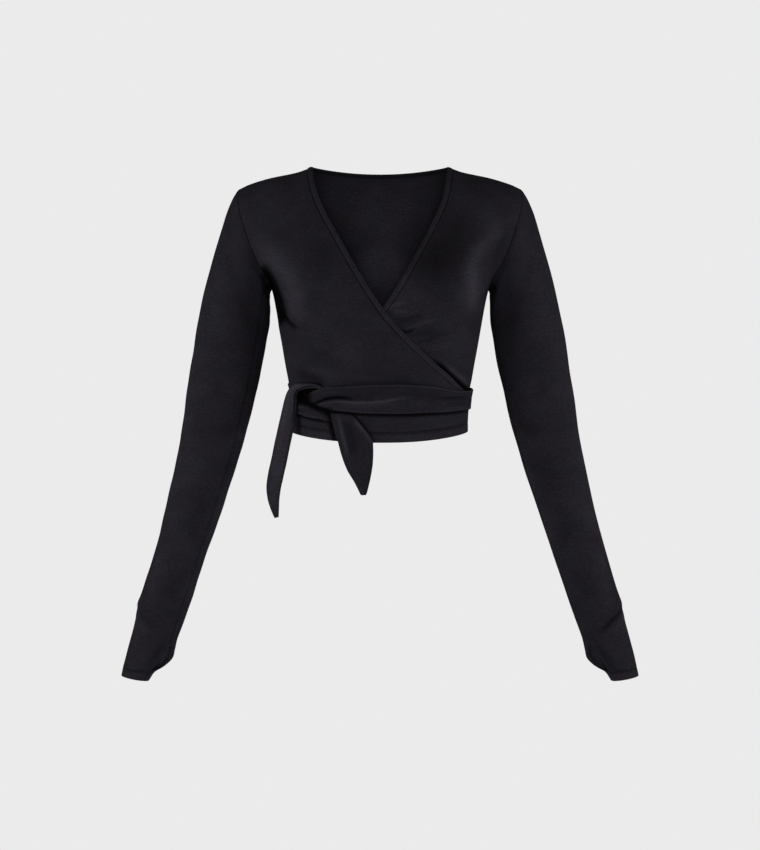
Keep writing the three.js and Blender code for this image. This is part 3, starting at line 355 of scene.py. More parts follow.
# Sleeve rings from the armhole to the cuff, seen from the front: outer edge, inner edge, half depth,
# and how far the ring has turned from the armhole's shape to an oval
SLEEVE_RINGS = named(
    "outer_x outer_z inner_x inner_z depth oval",
    (197.5, -44, 147.9, -168, 45, 0.3),
    (205, -61, 148.1, -173.5, 44, 0.6),
    (212.5, -84, 148.3, -180, 43, 0.85),
    (220.5, -111, 148.2, -188, 42, 1),
    (229.5, -143, 148.6, -199, 41, 1),
    (238.5, -179, 149.8, -214, 40, 1),
    (246, -213, 153.4, -236, 39, 1),
    (251.8, -249, 159.2, -267, 38, 1),
    (258.5, -291, 168.6, -308, 37, 1),
    (264.5, -334, 179.8, -352, 35.5, 1),
    (272.5, -380, 193.1, -399, 34, 1),
    (281, -420, 207, -440, 32.5, 1),
    (291, -464, 222, -484, 31, 1),
    (301.5, -504, 235.8, -524, 29.5, 1),
    (311.5, -538, 247.2, -557, 28, 1),
    (320, -566, 256.6, -585, 27, 1),
    (327, -586, 263.2, -604, 26, 1),
    (330.5, -604, 269.2, -621, 25.5, 1),
    (335.5, -624, 275, -637, 26, 1),
    (340.5, -643, 278.8, -652, 27.5, 1),
    (344, -656, 282.2, -664, 29, 1),
    (346.5, -666, 292.6, -674, 31, 1),
    (348.7, -676, 306, -682, 32.5, 1),
    (351, -687, 315, -694.5, 33, 1),
)
SLEEVE_AROUND = 112
SLEEVE_STEP = 2.9
THUMB_INSIDE_PAINTED_LIGHT = 1.5  # painted light on the inner face behind a thumb hole, where it would lie in shade
CUFF_RISE = 3.6  # how much higher the front of a cuff's end lies
AROUND_MM = 0.62  # millimetres of sleeve for each degree round it
UNDERARM_SEAM = {-1: 137, 1: 163}  # degrees round the sleeve: 0 is its outer edge and 90 the front
# Creases of a sleeve: height, spreads, and the line through degrees round it and millimetres down it
SLEEVE_CREASES = [
    (-3.2, 4, 5, [(158, 2), (152, 16), (146, 34)]),
    (1.3, 6, 7, [(128, 8), (132, 30), (138, 64), (142, 96)]),
    (-1.0, 6, 8, [(96, 60), (112, 92), (130, 128)]),
    (0.9, 9, 10, [(50, 40), (58, 90), (62, 150)]),
    (-0.8, 8, 10, [(70, 130), (84, 176), (92, 230)]),
    (0.8, 8, 9, [(104, 170), (112, 214), (118, 256)]),
    (-1.1, 6, 7, [(150, 236), (128, 252), (104, 262)]),
    (1.0, 7, 7, [(156, 254), (132, 270), (108, 280)]),
    (-0.9, 6, 8, [(148, 288), (124, 300), (96, 304)]),
    (0.7, 9, 9, [(60, 300), (70, 360), (72, 420)]),
    (-0.7, 7, 9, [(100, 330), (112, 380), (116, 430)]),
    (0.8, 6, 8, [(40, 420), (52, 470), (56, 520)]),
    (-0.8, 6, 7, [(120, 440), (104, 480), (84, 512)]),
    (1.5, 5, 4, [(12, 506), (20, 524), (34, 540)]),
    (-1.1, 2.4, 3.2, [(-20, 516), (36, 527.5), (70, 535), (106, 546)]),
    (1.0, 4, 5, [(12, 532), (46, 540), (82, 549)]),
    (-0.8, 4, 5, [(128, 540), (112, 566), (92, 590)]),
    (1.0, 6, 6, [(236, 110), (252, 150), (258, 190)]),
    (-1.0, 6, 8, [(212, 244), (240, 258), (266, 266)]),
    (0.9, 7, 8, [(216, 264), (244, 278), (270, 286)]),
    (0.8, 8, 9, [(270, 380), (262, 430), (252, 480)]),
    (-0.9, 5, 6, [(330, 520), (300, 540), (272, 556)]),
]
# Painted shade at the armpit and along a crease at the cuff, and painted highlights down a sleeve's outer and
# inner sides
SLEEVE_SHADES = {
    -1: [
        (-2.2, 3, 3.4, [(172, -2), (160, 3), (150, 9), (142, 16)]),
        (-1.0, 2, 2.4, [(140, -2), (133, 7), (128, 18)]),
        (0.22, 13, 13, [(24, 60), (18, 200), (16, 330), (14, 470)]),
        (0.2, 9, 9, [(158, 120), (160, 240), (160, 400), (158, 520)]),
    ],
    1: [
        (-1.2, 3, 4, [(168, -2), (156, 5), (146, 12)]),
        (-0.9, 1.5, 2.6, [(-20, 514.5), (36, 526.5), (70, 534), (108, 546)]),
        (0.22, 13, 13, [(24, 60), (18, 200), (16, 330), (14, 470)]),
        (0.2, 9, 9, [(158, 120), (160, 240), (160, 400), (158, 520)]),
    ],
}
# Painted highlight and painted shade on the creases at the cuff
CUFF_SHADES = [
    (0.4, 3, 3, [(4, 528), (16, 538), (30, 552)]),
    (-0.35, 6, 9, [(128, 560), (112, 580), (92, 596)]),
]
THUMB_HOLE = {
    "centre": (296.5, -17, -662), "half_length": 22, "half_width": 9,
    "lean": 32, "turn": 42, "cut": 26, "rim": 0.85, "corners": 56, "ray_from": 30, "sharp": 50,
}

# Sash strips on the body: angle round it, with 0 in the middle of the front and 90 at the wearer's left,
# edges, height off it, and the fold along it
SASH_FRONT = named(
    "angle top bottom off fold_line fold",
    (-46, -297.5, -308.5, 6.4, 0.4, 0.4),
    (-41, -293.5, -311.5, 6.2, 0.4, 0.8),
    (-36, -290.5, -315.5, 6.1, 0.5, 1),
    (-30, -287.4, -318.8, 5.8, 0.56, 1),
    (-20, -286.4, -321, 5.3, 0.55, 1),
    (-10, -285.6, -323, 4.6, 0.47, 1),
    (0, -284.6, -324.2, 4.1, 0.48, 1),
    (10, -284.2, -324.4, 4, 0.52, 1),
    (20, -285.2, -324, 4.1, 0.62, 1),
    (30, -287, -323.4, 4.2, 0.7, 0.7),
    (40, -290.5, -323.5, 4.3, 0.7, 0.3),
    (50, -293.5, -323, 4.4, 0.7, 0),
    (60, -295, -322.5, 4.5, 0.6, 0),
    (70, -296, -322.5, 4.6, 0.5, 0),
    (80, -295.8, -322.5, 4.7, 0.5, 0.3),
    (89.6, -296.3, -324, 5, 0.5, 0),
)
TIE_INNER = named(
    "angle top bottom off fold_line fold",
    (85.8, -301, -324, 2.5, 0.5, 0),
    (90, -300, -326, 2.4, 0.5, 0),
    (110, -297, -333, 2.2, 0.5, 0),
    (180, -296, -338, 2.2, 0.5, 0),
    (235, -301, -339, 2.2, 0.5, 0),
    (260, -313, -336, 2.2, 0.5, 0),
    (270, -317, -332, 2.3, 0.5, 0),
    (285, -316.5, -327.5, 2.4, 0.5, 0),
    (300, -311.5, -327.5, 2.4, 0.5, 0),
    (310, -310.5, -330.5, 2.4, 0.5, 0),
    (317, -313, -331.8, 2.2, 0.5, 0),
    (323, -316.5, -332.8, 1.9, 0.5, 0),
    (328, -319.5, -334, 1.6, 0.5, 0),
    (333, -322, -335, 1.5, 0.5, 0),
)
TIE_OUTER = named(
    "angle top bottom off fold_line fold",
    (90.4, -296.3, -324, 5, 0.5, 0),
    (110, -295, -329, 4.8, 0.5, 0),
    (150, -292, -333, 4.7, 0.5, 0),
    (180, -291, -334, 4.7, 0.5, 0),
    (215, -291, -331, 4.7, 0.5, 0),
    (240, -290, -322, 4.6, 0.5, 0),
    (258, -289, -307, 3.4, 0.5, 0),
    (268, -290, -301, 2.1, 0.5, 0),
)
ANGLE_MM = 2.0  # millimetres of waist for each degree round it
STRIP_COLUMNS, STRIP_STEP = 44, 0.75  # points across a strip, and degrees between its rows
STRIP_ROUND = 1.8  # radius of its edges
STRIP_PAINTED_HIGHLIGHT, STRIP_PAINTED_HIGHLIGHT_AT, STRIP_PAINTED_HIGHLIGHT_SPREAD = 0.42, 1.2, 0.9  # the painted highlight beside an edge, where the rounded edge would catch light
STRIP_EDGE_PAINTED_SHADE, STRIP_EDGE_PAINTED_SHADE_SPREAD = 0.9, 0.4  # painted shade on the edge itself
TUCKED_THINNER = 0.58  # share of its thickness that a tucked end loses
FOLD_PROUD = 1.1  # height of the fold along the belt
# Creases of the belt, and of the strand below it: height, spreads, and the line through x and z
BELT_CREASES = [
    (1.6, 1.1, 3.4, [
        (-84, -314), (-70, -308.4), (-54, -305.8), (-34, -307.4),
        (-16, -308), (3, -306.6), (30, -301.5), (48, -299),
    ]),
    (-1.5, 2.2, 1.1, [
        (-92, -314), (-80, -308.6), (-71, -304.4), (-58, -302),
        (-42, -303), (-24, -304.4), (-4, -303.6),
    ]),
    (0.6, 2, 3, [(-60, -312.5), (-30, -314), (0, -314), (40, -312), (70, -311)]),
    (-0.5, 3, 3, [(-50, -317), (-20, -318.5), (20, -318.5), (60, -317)]),
    (0.7, 1.6, 2, [(-88, -298), (-60, -295), (-20, -294), (30, -293.6), (60, -297)]),
    (1.3, 1.8, 2, [(70, -299.6), (96, -300.4), (119, -302)]),
    (-1.3, 1.6, 1.8, [(78, -304.5), (100, -304.6), (120, -305)]),
    (1.0, 2.2, 2.4, [(72, -308.6), (98, -309), (120, -309.4)]),
    (-1.2, 1.5, 1.8, [(84, -313.6), (104, -313.4), (120, -314)]),
    (1.0, 2.0, 2.0, [(80, -317.8), (102, -318), (120, -318.6)]),
]
STRAND_CREASES = [
    (1.2, 1.6, 2, [(-114, -319), (-100, -315.5), (-87, -318.5), (-74, -324)]),
    (-1.1, 1.3, 1.5, [(-112, -322.5), (-98, -321), (-84, -325)]),
    (0.9, 1.6, 1.6, [(-112, -325.5), (-98, -325.5), (-84, -329), (-72, -331)]),
]
# Creases of the ties round the back: height, spreads, and the line through degrees round the waist and z
TIE_INNER_CREASES = [
    (0.9, 2.4, 2.6, [(232, -308), (250, -312), (266, -319)]),
    (-1.0, 2.2, 2.4, [(226, -316), (248, -319), (268, -323)]),
    (0.8, 2.6, 2.8, [(224, -325), (246, -326), (268, -327.5)]),
]
TIE_OUTER_CREASES = [
    (1.0, 2.4, 2.8, [(96, -302.5), (130, -299), (170, -297.5), (210, -298)]),
    (-1.2, 2.0, 2.4, [(92, -307), (124, -306), (160, -304.5), (200, -305.5)]),
    (1.2, 2.4, 2.8, [(100, -311.5), (140, -312), (184, -311.5), (226, -309)]),
    (-1.0, 2.0, 2.6, [(96, -317), (136, -319), (178, -319.5), (218, -315)]),
    (0.9, 2.6, 3.0, [(104, -322), (144, -326), (190, -326.5), (222, -322)]),
    (1.0, 1.8, 2.2, [(222, -297), (240, -296), (256, -294.5), (266, -294)]),
    (-1.1, 1.6, 2.0, [(220, -303.5), (240, -302), (256, -299), (265, -297)]),
]
# The long end: out from behind the sash, up over it and down the wearer's right side
LONG_END = [
    {"x": -68.5, "off": 3, "z": -293.5, "half": 1.8, "thick": 1.6, "face_x": -0.5},
    {"x": -75.2, "off": 3.1, "z": -290.4, "half": 2.1, "thick": 1.8, "face_x": -0.53},
    {"x": -82.2, "off": 3.6, "z": -288, "half": 2.6, "thick": 2, "face_x": -0.57},
    {"x": -90.6, "off": 5.2, "z": -287.4, "half": 3.3, "thick": 2.4, "face_x": -0.62},
    {"x": -99.6, "off": 6.8, "z": -288.6, "half": 4.6, "thick": 2.8, "face_x": -0.65},
    {"x": -111.6, "y": -63, "z": -293.2, "half": 6.4, "thick": 3.2, "face_x": -0.6},
    {"x": -116.6, "y": -58, "z": -301, "half": 7.8, "thick": 3.4, "face_x": -0.5},
    {"x": -118.6, "y": -54, "z": -311.5, "half": 9.4, "thick": 3.6, "face_x": -0.4},
    {"x": -121, "y": -53, "z": -326, "half": 10.4, "thick": 3.6, "face_x": -0.35},
    {"x": -125.3, "y": -54, "z": -348, "half": 11, "thick": 3.6, "face_x": -0.3},
    {"x": -130.1, "y": -55.5, "z": -370, "half": 11.1, "thick": 3.5, "face_x": -0.3},
    {"x": -133.9, "y": -57, "z": -389, "half": 11.1, "thick": 3.4, "face_x": -0.3},
    {"x": -138.2, "y": -58, "z": -408, "half": 10.9, "thick": 3.2, "face_x": -0.25},
    {"x": -141.2, "y": -59, "z": -426, "half": 9.9, "thick": 3, "face_x": -0.2},
    {"x": -141.2, "y": -59.5, "z": -441, "half": 8, "thick": 2.8, "face_x": -0.2},
    {"x": -139.4, "y": -60, "z": -454, "half": 5.6, "thick": 2.6, "face_x": -0.2},
    {"x": -137.4, "y": -60, "z": -465, "half": 3, "thick": 2.4, "face_x": -0.2},
]
# The short end: from behind the sash down over the hem, between its two edges
SHORT_END = named(
    "z left right off",
    (-430.6, -23.4, -17.4, 7.8),
    (-427.6, -25, -16, 7.7),
    (-423, -27, -14.8, 7.6),
    (-412, -32.4, -12.4, 7.3),
    (-400, -39.2, -10.2, 7),
    (-389, -43.8, -8.8, 6.6),
    (-375, -48.2, -8.2, 6.2),
    (-361, -51.8, -8.6, 5.6),
    (-351, -55, -14, 5),
    (-341, -57.6, -21.4, 4.2),
    (-331, -59.8, -29.9, 3.3),
    (-321, -62.2, -39.5, 2.85),
    (-311, -65.5, -44.3, 2.8),
)
# Creases of the short end: height, spreads, and the line through x and z
SHORT_END_CREASES = [
    (1.5, 1.2, 2.6, [(-55, -319), (-51, -336), (-48, -350), (-44, -368), (-40, -384)]),
    (-0.7, 3, 3, [(-46, -326), (-42, -342), (-37, -360), (-32, -380), (-27, -402)]),
    (1.1, 1, 2.8, [(-35, -327), (-26, -340), (-19, -349), (-13, -357)]),
    (0.5, 3, 3, [(-16, -366), (-18, -384), (-20, -404)]),
]
# Painted highlights on the short end's folded edges, painted shade between them, and the painted shadow of
# the belt across its top
SHORT_END_SHADES = [
    (0.5, 1, 2.2, [(-55, -319), (-51, -336), (-48, -350), (-44, -368), (-40, -384)]),
    (0.55, 1, 2.2, [(-35, -327), (-26, -340), (-19, -349), (-13, -357), (-8, -368)]),
    (-0.4, 5, 5, [(-44, -330), (-38, -352), (-33, -376)]),
    (-3.4, 1.2, 1.4, [(-86, -321), (-66, -322), (-50, -322.2), (-34, -324.2), (-22, -326.4), (-4, -329)]),
]
# Creases of the long end: height, spreads, and the line through millimetres across and along it
LONG_END_CREASES = [
    (-0.9, 0.8, 0.9, [(0.2, 14), (-1.2, 30), (-3.8, 46), (-5.2, 57), (-6.4, 68), (-7.6, 84), (-8.2, 102)]),
    (0.9, 2.0, 2.2, [(0.8, 20), (2.0, 40), (3.0, 60), (3.6, 92), (3.4, 120)]),
    (-0.6, 1.8, 1.8, [(-2.0, 96), (-2.4, 130), (-1.6, 170)]),
    (0.7, 2.2, 2.0, [(-6.4, 100), (-7.0, 140), (-6.0, 184)]),
    (0.7, 2.2, 2.0, [(6.6, 110), (7.0, 150), (5.4, 190)]),
]
# Painted shade along the long end's fold line and a painted highlight down its middle
LONG_END_SHADES = [
    (-1.7, 0.7, 0.8, [(0.2, 12), (-1.2, 30), (-3.8, 46), (-5.2, 57), (-6.4, 68), (-7.6, 84), (-8.2, 104)]),
    (0.72, 7, 7, [(0.6, -10), (1.0, 30), (2.0, 60), (2.4, 100), (1.6, 140), (0, 180), (-1, 240)]),
]


# Curves and folds


def mix(a, b, t):
    return a + (b - a) * t


def smooth_step(v, low, high):
    t = np.clip((v - low) / (high - low), 0, 1)
    return t * t * (3 - 2 * t)


def unit(vectors):
    return vectors / np.linalg.norm(vectors, axis=-1, keepdims=True)


def lengths_along(points):
    """Distance of each point of a line from its first."""
    return np.concatenate([[0], np.cumsum(np.linalg.norm(np.diff(points, axis=0), axis=-1))])


def hermite(values, tangents, i, step, t):
    """The cubic between values i and i + 1."""
    t2, t3 = t * t, t * t * t
    return (
        values[i] * (2 * t3 - 3 * t2 + 1)
        + tangents[i] * step * (t3 - 2 * t2 + t)
        + values[i + 1] * (3 * t2 - 2 * t3)
        + tangents[i + 1] * step * (t3 - t2)
    )


def along(rows, at, column, value):
    """A smooth curve through a column of a table, without overshoot."""
    keys, values = rows[at], rows[column]
    steps = np.diff(keys)
    slopes = np.diff(values) / steps
    tangents = np.empty(len(keys))
    tangents[0], tangents[-1] = slopes[0], slopes[-1]
    before, after = slopes[:-1], slopes[1:]
    same_way = before * after > 0
    tangents[1:-1] = np.where(same_way, 2 * before * after / np.where(same_way, before + after, 1), 0)
    v = np.clip(value, keys[0], keys[-1])
    i = np.clip(np.searchsorted(keys, v, side="right") - 1, 0, len(keys) - 2)
    return hermite(values, tangents, i, steps[i], (v - keys[i]) / steps[i])


def smooth_through(points, knots, at):
    """A smooth curve through rows of points, for each of their columns."""
    tangents = np.gradient(points, knots, axis=0)
    i = np.clip(np.searchsorted(knots, at, side="right") - 1, 0, len(knots) - 2)
    step = (knots[i + 1] - knots[i]).reshape(-1, *[1] * (points.ndim - 1))
    return hermite(points, tangents, i, step, (at - knots[i]).reshape(step.shape) / step)


def stretched(creases, scale):
    """Creases whose first coordinate is in degrees, as millimetres."""
    return [(height, left, right, [(p * scale, q) for p, q in line]) for height, left, right, line in creases]


def fold_height(folds, x, z):
    """Broad ridges and valleys, each a soft line that fades to nothing past its ends."""
    total = 0.0
    for i in range(len(folds["height"])):
        start_x, start_z = folds["from_x"][i], folds["from_z"][i]
        dx, dz = folds["to_x"][i] - start_x, folds["to_z"][i] - start_z
        t = np.clip(((x - start_x) * dx + (z - start_z) * dz) / (dx * dx + dz * dz), 0, 1)
        gap = np.hypot(x - start_x - dx * t, z - start_z - dz * t)
        total = total + folds["height"][i] * np.exp(-(gap**2) / (2 * folds["spread"][i] ** 2))
    return total


def crease_height(creases, p, q):
    """Creases along bent lines; each dies out towards its ends and may be steeper on one side."""
    p, q = np.broadcast_arrays(np.asarray(p, float), np.asarray(q, float))
    total = np.zeros(p.shape)
    for height, left, right, line in creases:
        line = np.array(line, float)
        lengths = np.hypot(*np.diff(line, axis=0).T)
        starts = np.concatenate([[0], np.cumsum(lengths)])
        nearest = np.full(p.shape, 1e9)
        place, side = np.zeros(p.shape), np.zeros(p.shape)
        for k, length in enumerate(lengths):
            dp, dq = line[k + 1] - line[k]
            t = np.clip(((p - line[k, 0]) * dp + (q - line[k, 1]) * dq) / length**2, 0, 1)
            off_p, off_q = p - line[k, 0] - t * dp, q - line[k, 1] - t * dq
            gap = np.hypot(off_p, off_q)
            closer = gap < nearest
            nearest = np.where(closer, gap, nearest)
            place = np.where(closer, starts[k] + t * length, place)
            side = np.where(closer, dp * off_q - dq * off_p, side)
        share = place / starts[-1]
        rise = 1 - np.abs(2 * share - 1) ** 3
        spread = np.where(side > 0, left, right)
        total += height * rise * np.exp(-(nearest**2) / (2 * spread**2))
    return total


def ripple(p, q, seed):
    """Slight unevenness of soft cloth, about 1 high, from a few long waves."""
    draws = np.random.RandomState(SEED + seed)
    total = 0.0
    for _ in range(7):
        length = draws.uniform(38, 120)
        turn = draws.uniform(0, math.pi)
        phase = draws.uniform(0, 2 * math.pi)
        total = total + np.sin((p * math.cos(turn) + q * math.sin(turn)) * 2 * math.pi / length + phase)
    return total / 3.2


# The body's middle surface


def shoulder_height(x):
    return along(SHOULDER, "x", "z", np.abs(x))


def armhole_x(z):
    return along(ARMHOLE, "z", "x", z)


def armhole_y(z):
    t = np.clip((z - ARMPIT_Z - ARMHOLE_HALF) / ARMHOLE_HALF, -1, 1)
    return ARMHOLE_DEPTH * np.sqrt(1 - t * t)


def half_width(z, depth=100.0):
    """Half width of the whole section; above the armpit it is set so that the surface meets the armhole."""
    level = np.clip(z, ARMPIT_Z, SHOULDER_TIP_Z - 0.02)
    q = np.clip((shoulder_height(armhole_x(level)) - level) / SHOULDER_ROUND, 0, 1)
    rolled = np.sqrt(1 - (1 - q) ** 2)
    share = np.clip(armhole_y(level) / (depth * np.maximum(rolled, 1e-3)), 0, 0.6)
    upper = armhole_x(level) / (1 - share**SECTION_POWER) ** (1 / SECTION_POWER)
    return np.where(z <= ARMPIT_Z, along(SECTIONS, "z", "half_width", z), upper)


def plain_square(is_back, x, z):
    """The square of the plain surface's distance from the side seam's plane, smooth over the seams."""
    front, back = along(SECTIONS, "z", "front", z), along(SECTIONS, "z", "back", z)
    depth = np.where(is_back, back, front)
    q = np.minimum((shoulder_height(x) - z) / SHOULDER_ROUND, 1)
    roll = 1 - (1 - q) ** 2
    rest = 1 - (np.abs(x) / half_width(z, depth)) ** SECTION_POWER
    return depth**2 * roll * np.sign(rest) * np.abs(rest) ** (2 / SECTION_POWER)


def folds_at(is_back, x, z):
    share = np.sqrt(np.maximum(plain_square(is_back, x, z), 0)) / 100
    height = np.where(is_back, fold_height(BACK_FOLDS, x, z), fold_height(FRONT_FOLDS, x, z))
    return height * smooth_step(share, *FOLD_FADE)


def flare(x, z):
    """The wearer's right side stands out a little more from the waist down."""
    return np.where(x < 0, 1 + FLARE * (1 - smooth_step(z, FLARE_BELOW, FLARE_ABOVE)), 1)


def on_body(is_back, x, z, off=0.0):
    """Points off the body's middle surface, and its outward normals there."""
    x, z, is_back = np.broadcast_arrays(np.asarray(x, float), np.asarray(z, float), is_back)
    out = np.where(is_back, 1.0, -1.0)
    step = 0.5
    plain = np.sqrt(np.maximum(plain_square(is_back, x, z), 0))
    slope_x = (plain_square(is_back, x + step, z) - plain_square(is_back, x - step, z)) / (2 * step)
    slope_z = (plain_square(is_back, x, z + step) - plain_square(is_back, x, z - step)) / (2 * step)
    fold_x = (folds_at(is_back, x + step, z) - folds_at(is_back, x - step, z)) / (2 * step)
    fold_z = (folds_at(is_back, x, z + step) - folds_at(is_back, x, z - step)) / (2 * step)
    normal = np.stack(
        [-slope_x - 2 * plain * fold_x, 2 * plain * out, -slope_z - 2 * plain * fold_z], axis=-1
    )
    normal = unit(normal)
    point = np.stack([x * flare(x, z), out * (plain + folds_at(is_back, x, z)), z], axis=-1)
    return point + normal * np.asarray(off)[..., None], normal


def sideways(angle):
    """x as a share of the half width at an angle round the body."""
    sine = np.sin(np.radians(angle))
    return np.sign(sine) * np.abs(sine) ** (2 / SECTION_POWER) * SIDE_SHARE


def angle_at(x, z):
    share = np.clip(np.abs(x) / half_width(z), 0, 1)
    return np.sign(x) * np.degrees(np.arcsin(share ** (SECTION_POWER / 2)))


def hem_height(angle):
    cosine = np.cos(np.radians(angle))
    return HEM_SIDE - np.where(cosine > 0, HEM_FRONT_DIP, HEM_BACK_DIP) * cosine**2


def at_angle(angle, z, off=0.0):
    """Points off the body at angles round it."""
    is_back = np.cos(np.radians(angle)) < 0
    return on_body(is_back, half_width(z) * sideways(angle), z, off)


# Grids of cloth


def upper_rows(count=ROWS_ABOVE):
    """Rows from the shoulder to just above the armpit; they follow the shoulder at the top."""
    middle = ARMPIT_Z + ARMHOLE_HALF
    curved = middle + ARMHOLE_HALF * np.cos(np.pi * np.linspace(0, 0.5, count // 2, endpoint=False))
    level = np.linspace(middle, ARMPIT_Z, count - count // 2, endpoint=False)
    z = np.concatenate([curved, level])[:, None]
    share = np.arccos(np.clip((z - middle) / ARMHOLE_HALF, -1, 1)) / np.pi
    return {"z": z, "x": armhole_x(z), "slope": smooth_step(z, SLOPE_FROM, SHOULDER_TIP_Z), "share": share}


def hem_places(fine):
    """Distances above an edge, closer together at the edge itself and at the stitched line."""
    near = [0, 0.15, 0.45, 1, 2, 3.5, 5.5, 7.5, 9, 9.9, 10.3, 10.6, 10.9, 11.4, 11.9, 12.4]
    far = [12.9, 13.2, 13.5, 13.9, 14.6, 15.5, 16.8, 18.4]
    return np.array(near + far if fine else near[::3] + far[::3], float)


def lower_rows():
    """Level rows from the armpit, then rows that follow the hem: height, and share of the hem's dip."""
    edge = HEM_SIDE + hem_places(True)[::-1]
    level = np.concatenate([np.linspace(ARMPIT_Z, edge[0], ROWS_BELOW)[:-1], edge])[:, None]
    return level, np.clip((HEM_BLEND[0] - level) / (HEM_BLEND[0] - HEM_BLEND[1]), 0, 1)


def row_z(rows, top_at, x):
    return rows["z"] + (top_at(x) - top_at(rows["x"])) * rows["slope"]


def steps_between(points, axis):
    """Distance of each point of a grid from its first row or column, along the cloth."""
    lengths = np.linalg.norm(np.diff(points, axis=axis), axis=-1)
    start = np.zeros_like(np.take(lengths, [0], axis=axis))
    return np.concatenate([start, np.cumsum(lengths, axis=axis)], axis=axis)


def places_across(total, count):
    """Distances across rows of cloth: close together at both edges and even between."""
    reach = np.minimum(SEAM_ROWS[-1], total / 4)
    edges = SEAM_ROWS[None, :] * (reach / SEAM_ROWS[-1])
    middle = reach + (total - 2 * reach) * np.linspace(0, 1, count - 10)[None, 1:-1]
    return np.concatenate([edges, middle, total - edges[:, ::-1]], axis=1)


def evened(place, count, spacing):
    """Shares across each row at which the cloth's own distances are as spacing gives them."""
    dense = np.linspace(0, 1, 261)
    points = place(np.broadcast_to(dense, (count, len(dense))))
    lengths = steps_between(points, 1)
    targets = spacing(lengths[:, -1:])
    shares = np.stack([np.interp(t, length, dense) for t, length in zip(targets, lengths)])
    return shares, targets, lengths[:, -1:]


def seam_dip(distance):
    """How far the cloth is drawn in near a seam."""
    return SEAM_DEPTH * np.clip(1 - distance / SEAM_REACH, 0, 1) ** 2


def groove(distance, spread):
    """1 in the middle of a fine line, fading to 0 beside it."""
    return np.exp(-((distance / spread) ** 2))


def lip(distance, height, reach):
    """The rounding of a free edge."""
    return height * np.clip(1 - distance / reach, 0, 1) ** 2


def stitch_dip(distance):
    """The two fine troughs of a stitched hem."""
    return sum(HEM_TROUGH * groove(distance - row, HEM_TROUGH_SPREAD) for row in HEM_STITCH)


def seam_shade(distance):
    """The dark line in a seam."""
    return -SEAM_SHADE * np.clip(1 - distance / SEAM_SHADE_REACH, 0, 1) ** 2


def stitch_shade(distance):
    """Painted shade in the stitched rows of a hem, and a painted highlight that makes the turned cloth below
    them a little lighter.
    """
    shades = zip(HEM_ROW_SHADES, HEM_STITCH)
    rows = sum(-depth * groove(distance - row, HEM_ROW_SPREAD) for depth, row in shades)
    return rows + HEM_PAINTED_HIGHLIGHT * (1 - smooth_step(distance, HEM_STITCH[0] - 2, HEM_STITCH[0]))


def hem_outside(dips, distance):
    """Height of a hemmed panel's outer face, with its seams' dips."""
    return CLOTH / 2 - dips - stitch_dip(distance) - lip(distance, HEM_LIP, HEM_LIP_REACH)


def hem_inside(distance):
    """Height of its inner face, which is lower where the hem is turned up."""
    turned = 1 - smooth_step(distance, HEM_TURN - 0.8, HEM_TURN + 0.8)
    return -CLOTH / 2 - HEM_FOLD * turned * smooth_step(distance, 0, 0.9)


def band_faces(crown, from_seam, from_edge):
    """Heights of the neck band's outer and inner faces, and the rounding of its free edge."""
    round_off = lip(from_edge, BAND_LIP, BAND_LIP_REACH)
    stitched = BAND_GROOVE * groove(from_seam - BAND_STITCH, BAND_GROOVE_SPREAD)
    outer = BAND_CLOTH / 2 + crown - round_off - stitched - BAND_PULL * seam_dip(from_seam)
    return outer, -BAND_CLOTH / 2 + round_off, round_off


def stitch_rows(middle, normal, outer, from_hem):
    """The points and normals of a hem's two stitched rows."""
    rows = [int(np.argmin(np.abs(from_hem - height))) for height in HEM_STITCH]
    return [(middle[row] + normal[row] * outer[row][:, None], normal[row]) for row in rows]


def grid_normal(points, around=False):
    """Unit normals of a grid of points, by the differences between its neighbours."""
    if around:
        across = np.roll(points, -1, axis=1) - np.roll(points, 1, axis=1)
    else:
        across = np.gradient(points, axis=1)
    normal = np.cross(np.gradient(points, axis=0), across)
    return normal / np.maximum(np.linalg.norm(normal, axis=-1, keepdims=True), 1e-12)


def facing(normal, towards):
    """The normals, turned round as a whole if they face away from the other field."""
    return normal if np.sum(normal * towards) > 0 else -normal


def signed_volume(points, faces):
    """Six times the volume inside a mesh of quads, below 0 when its faces look inwards."""
    a, b, c, d = (points[faces[:, i]] for i in range(4))
    return np.sum(a * np.cross(b, c)) + np.sum(a * np.cross(c, d))


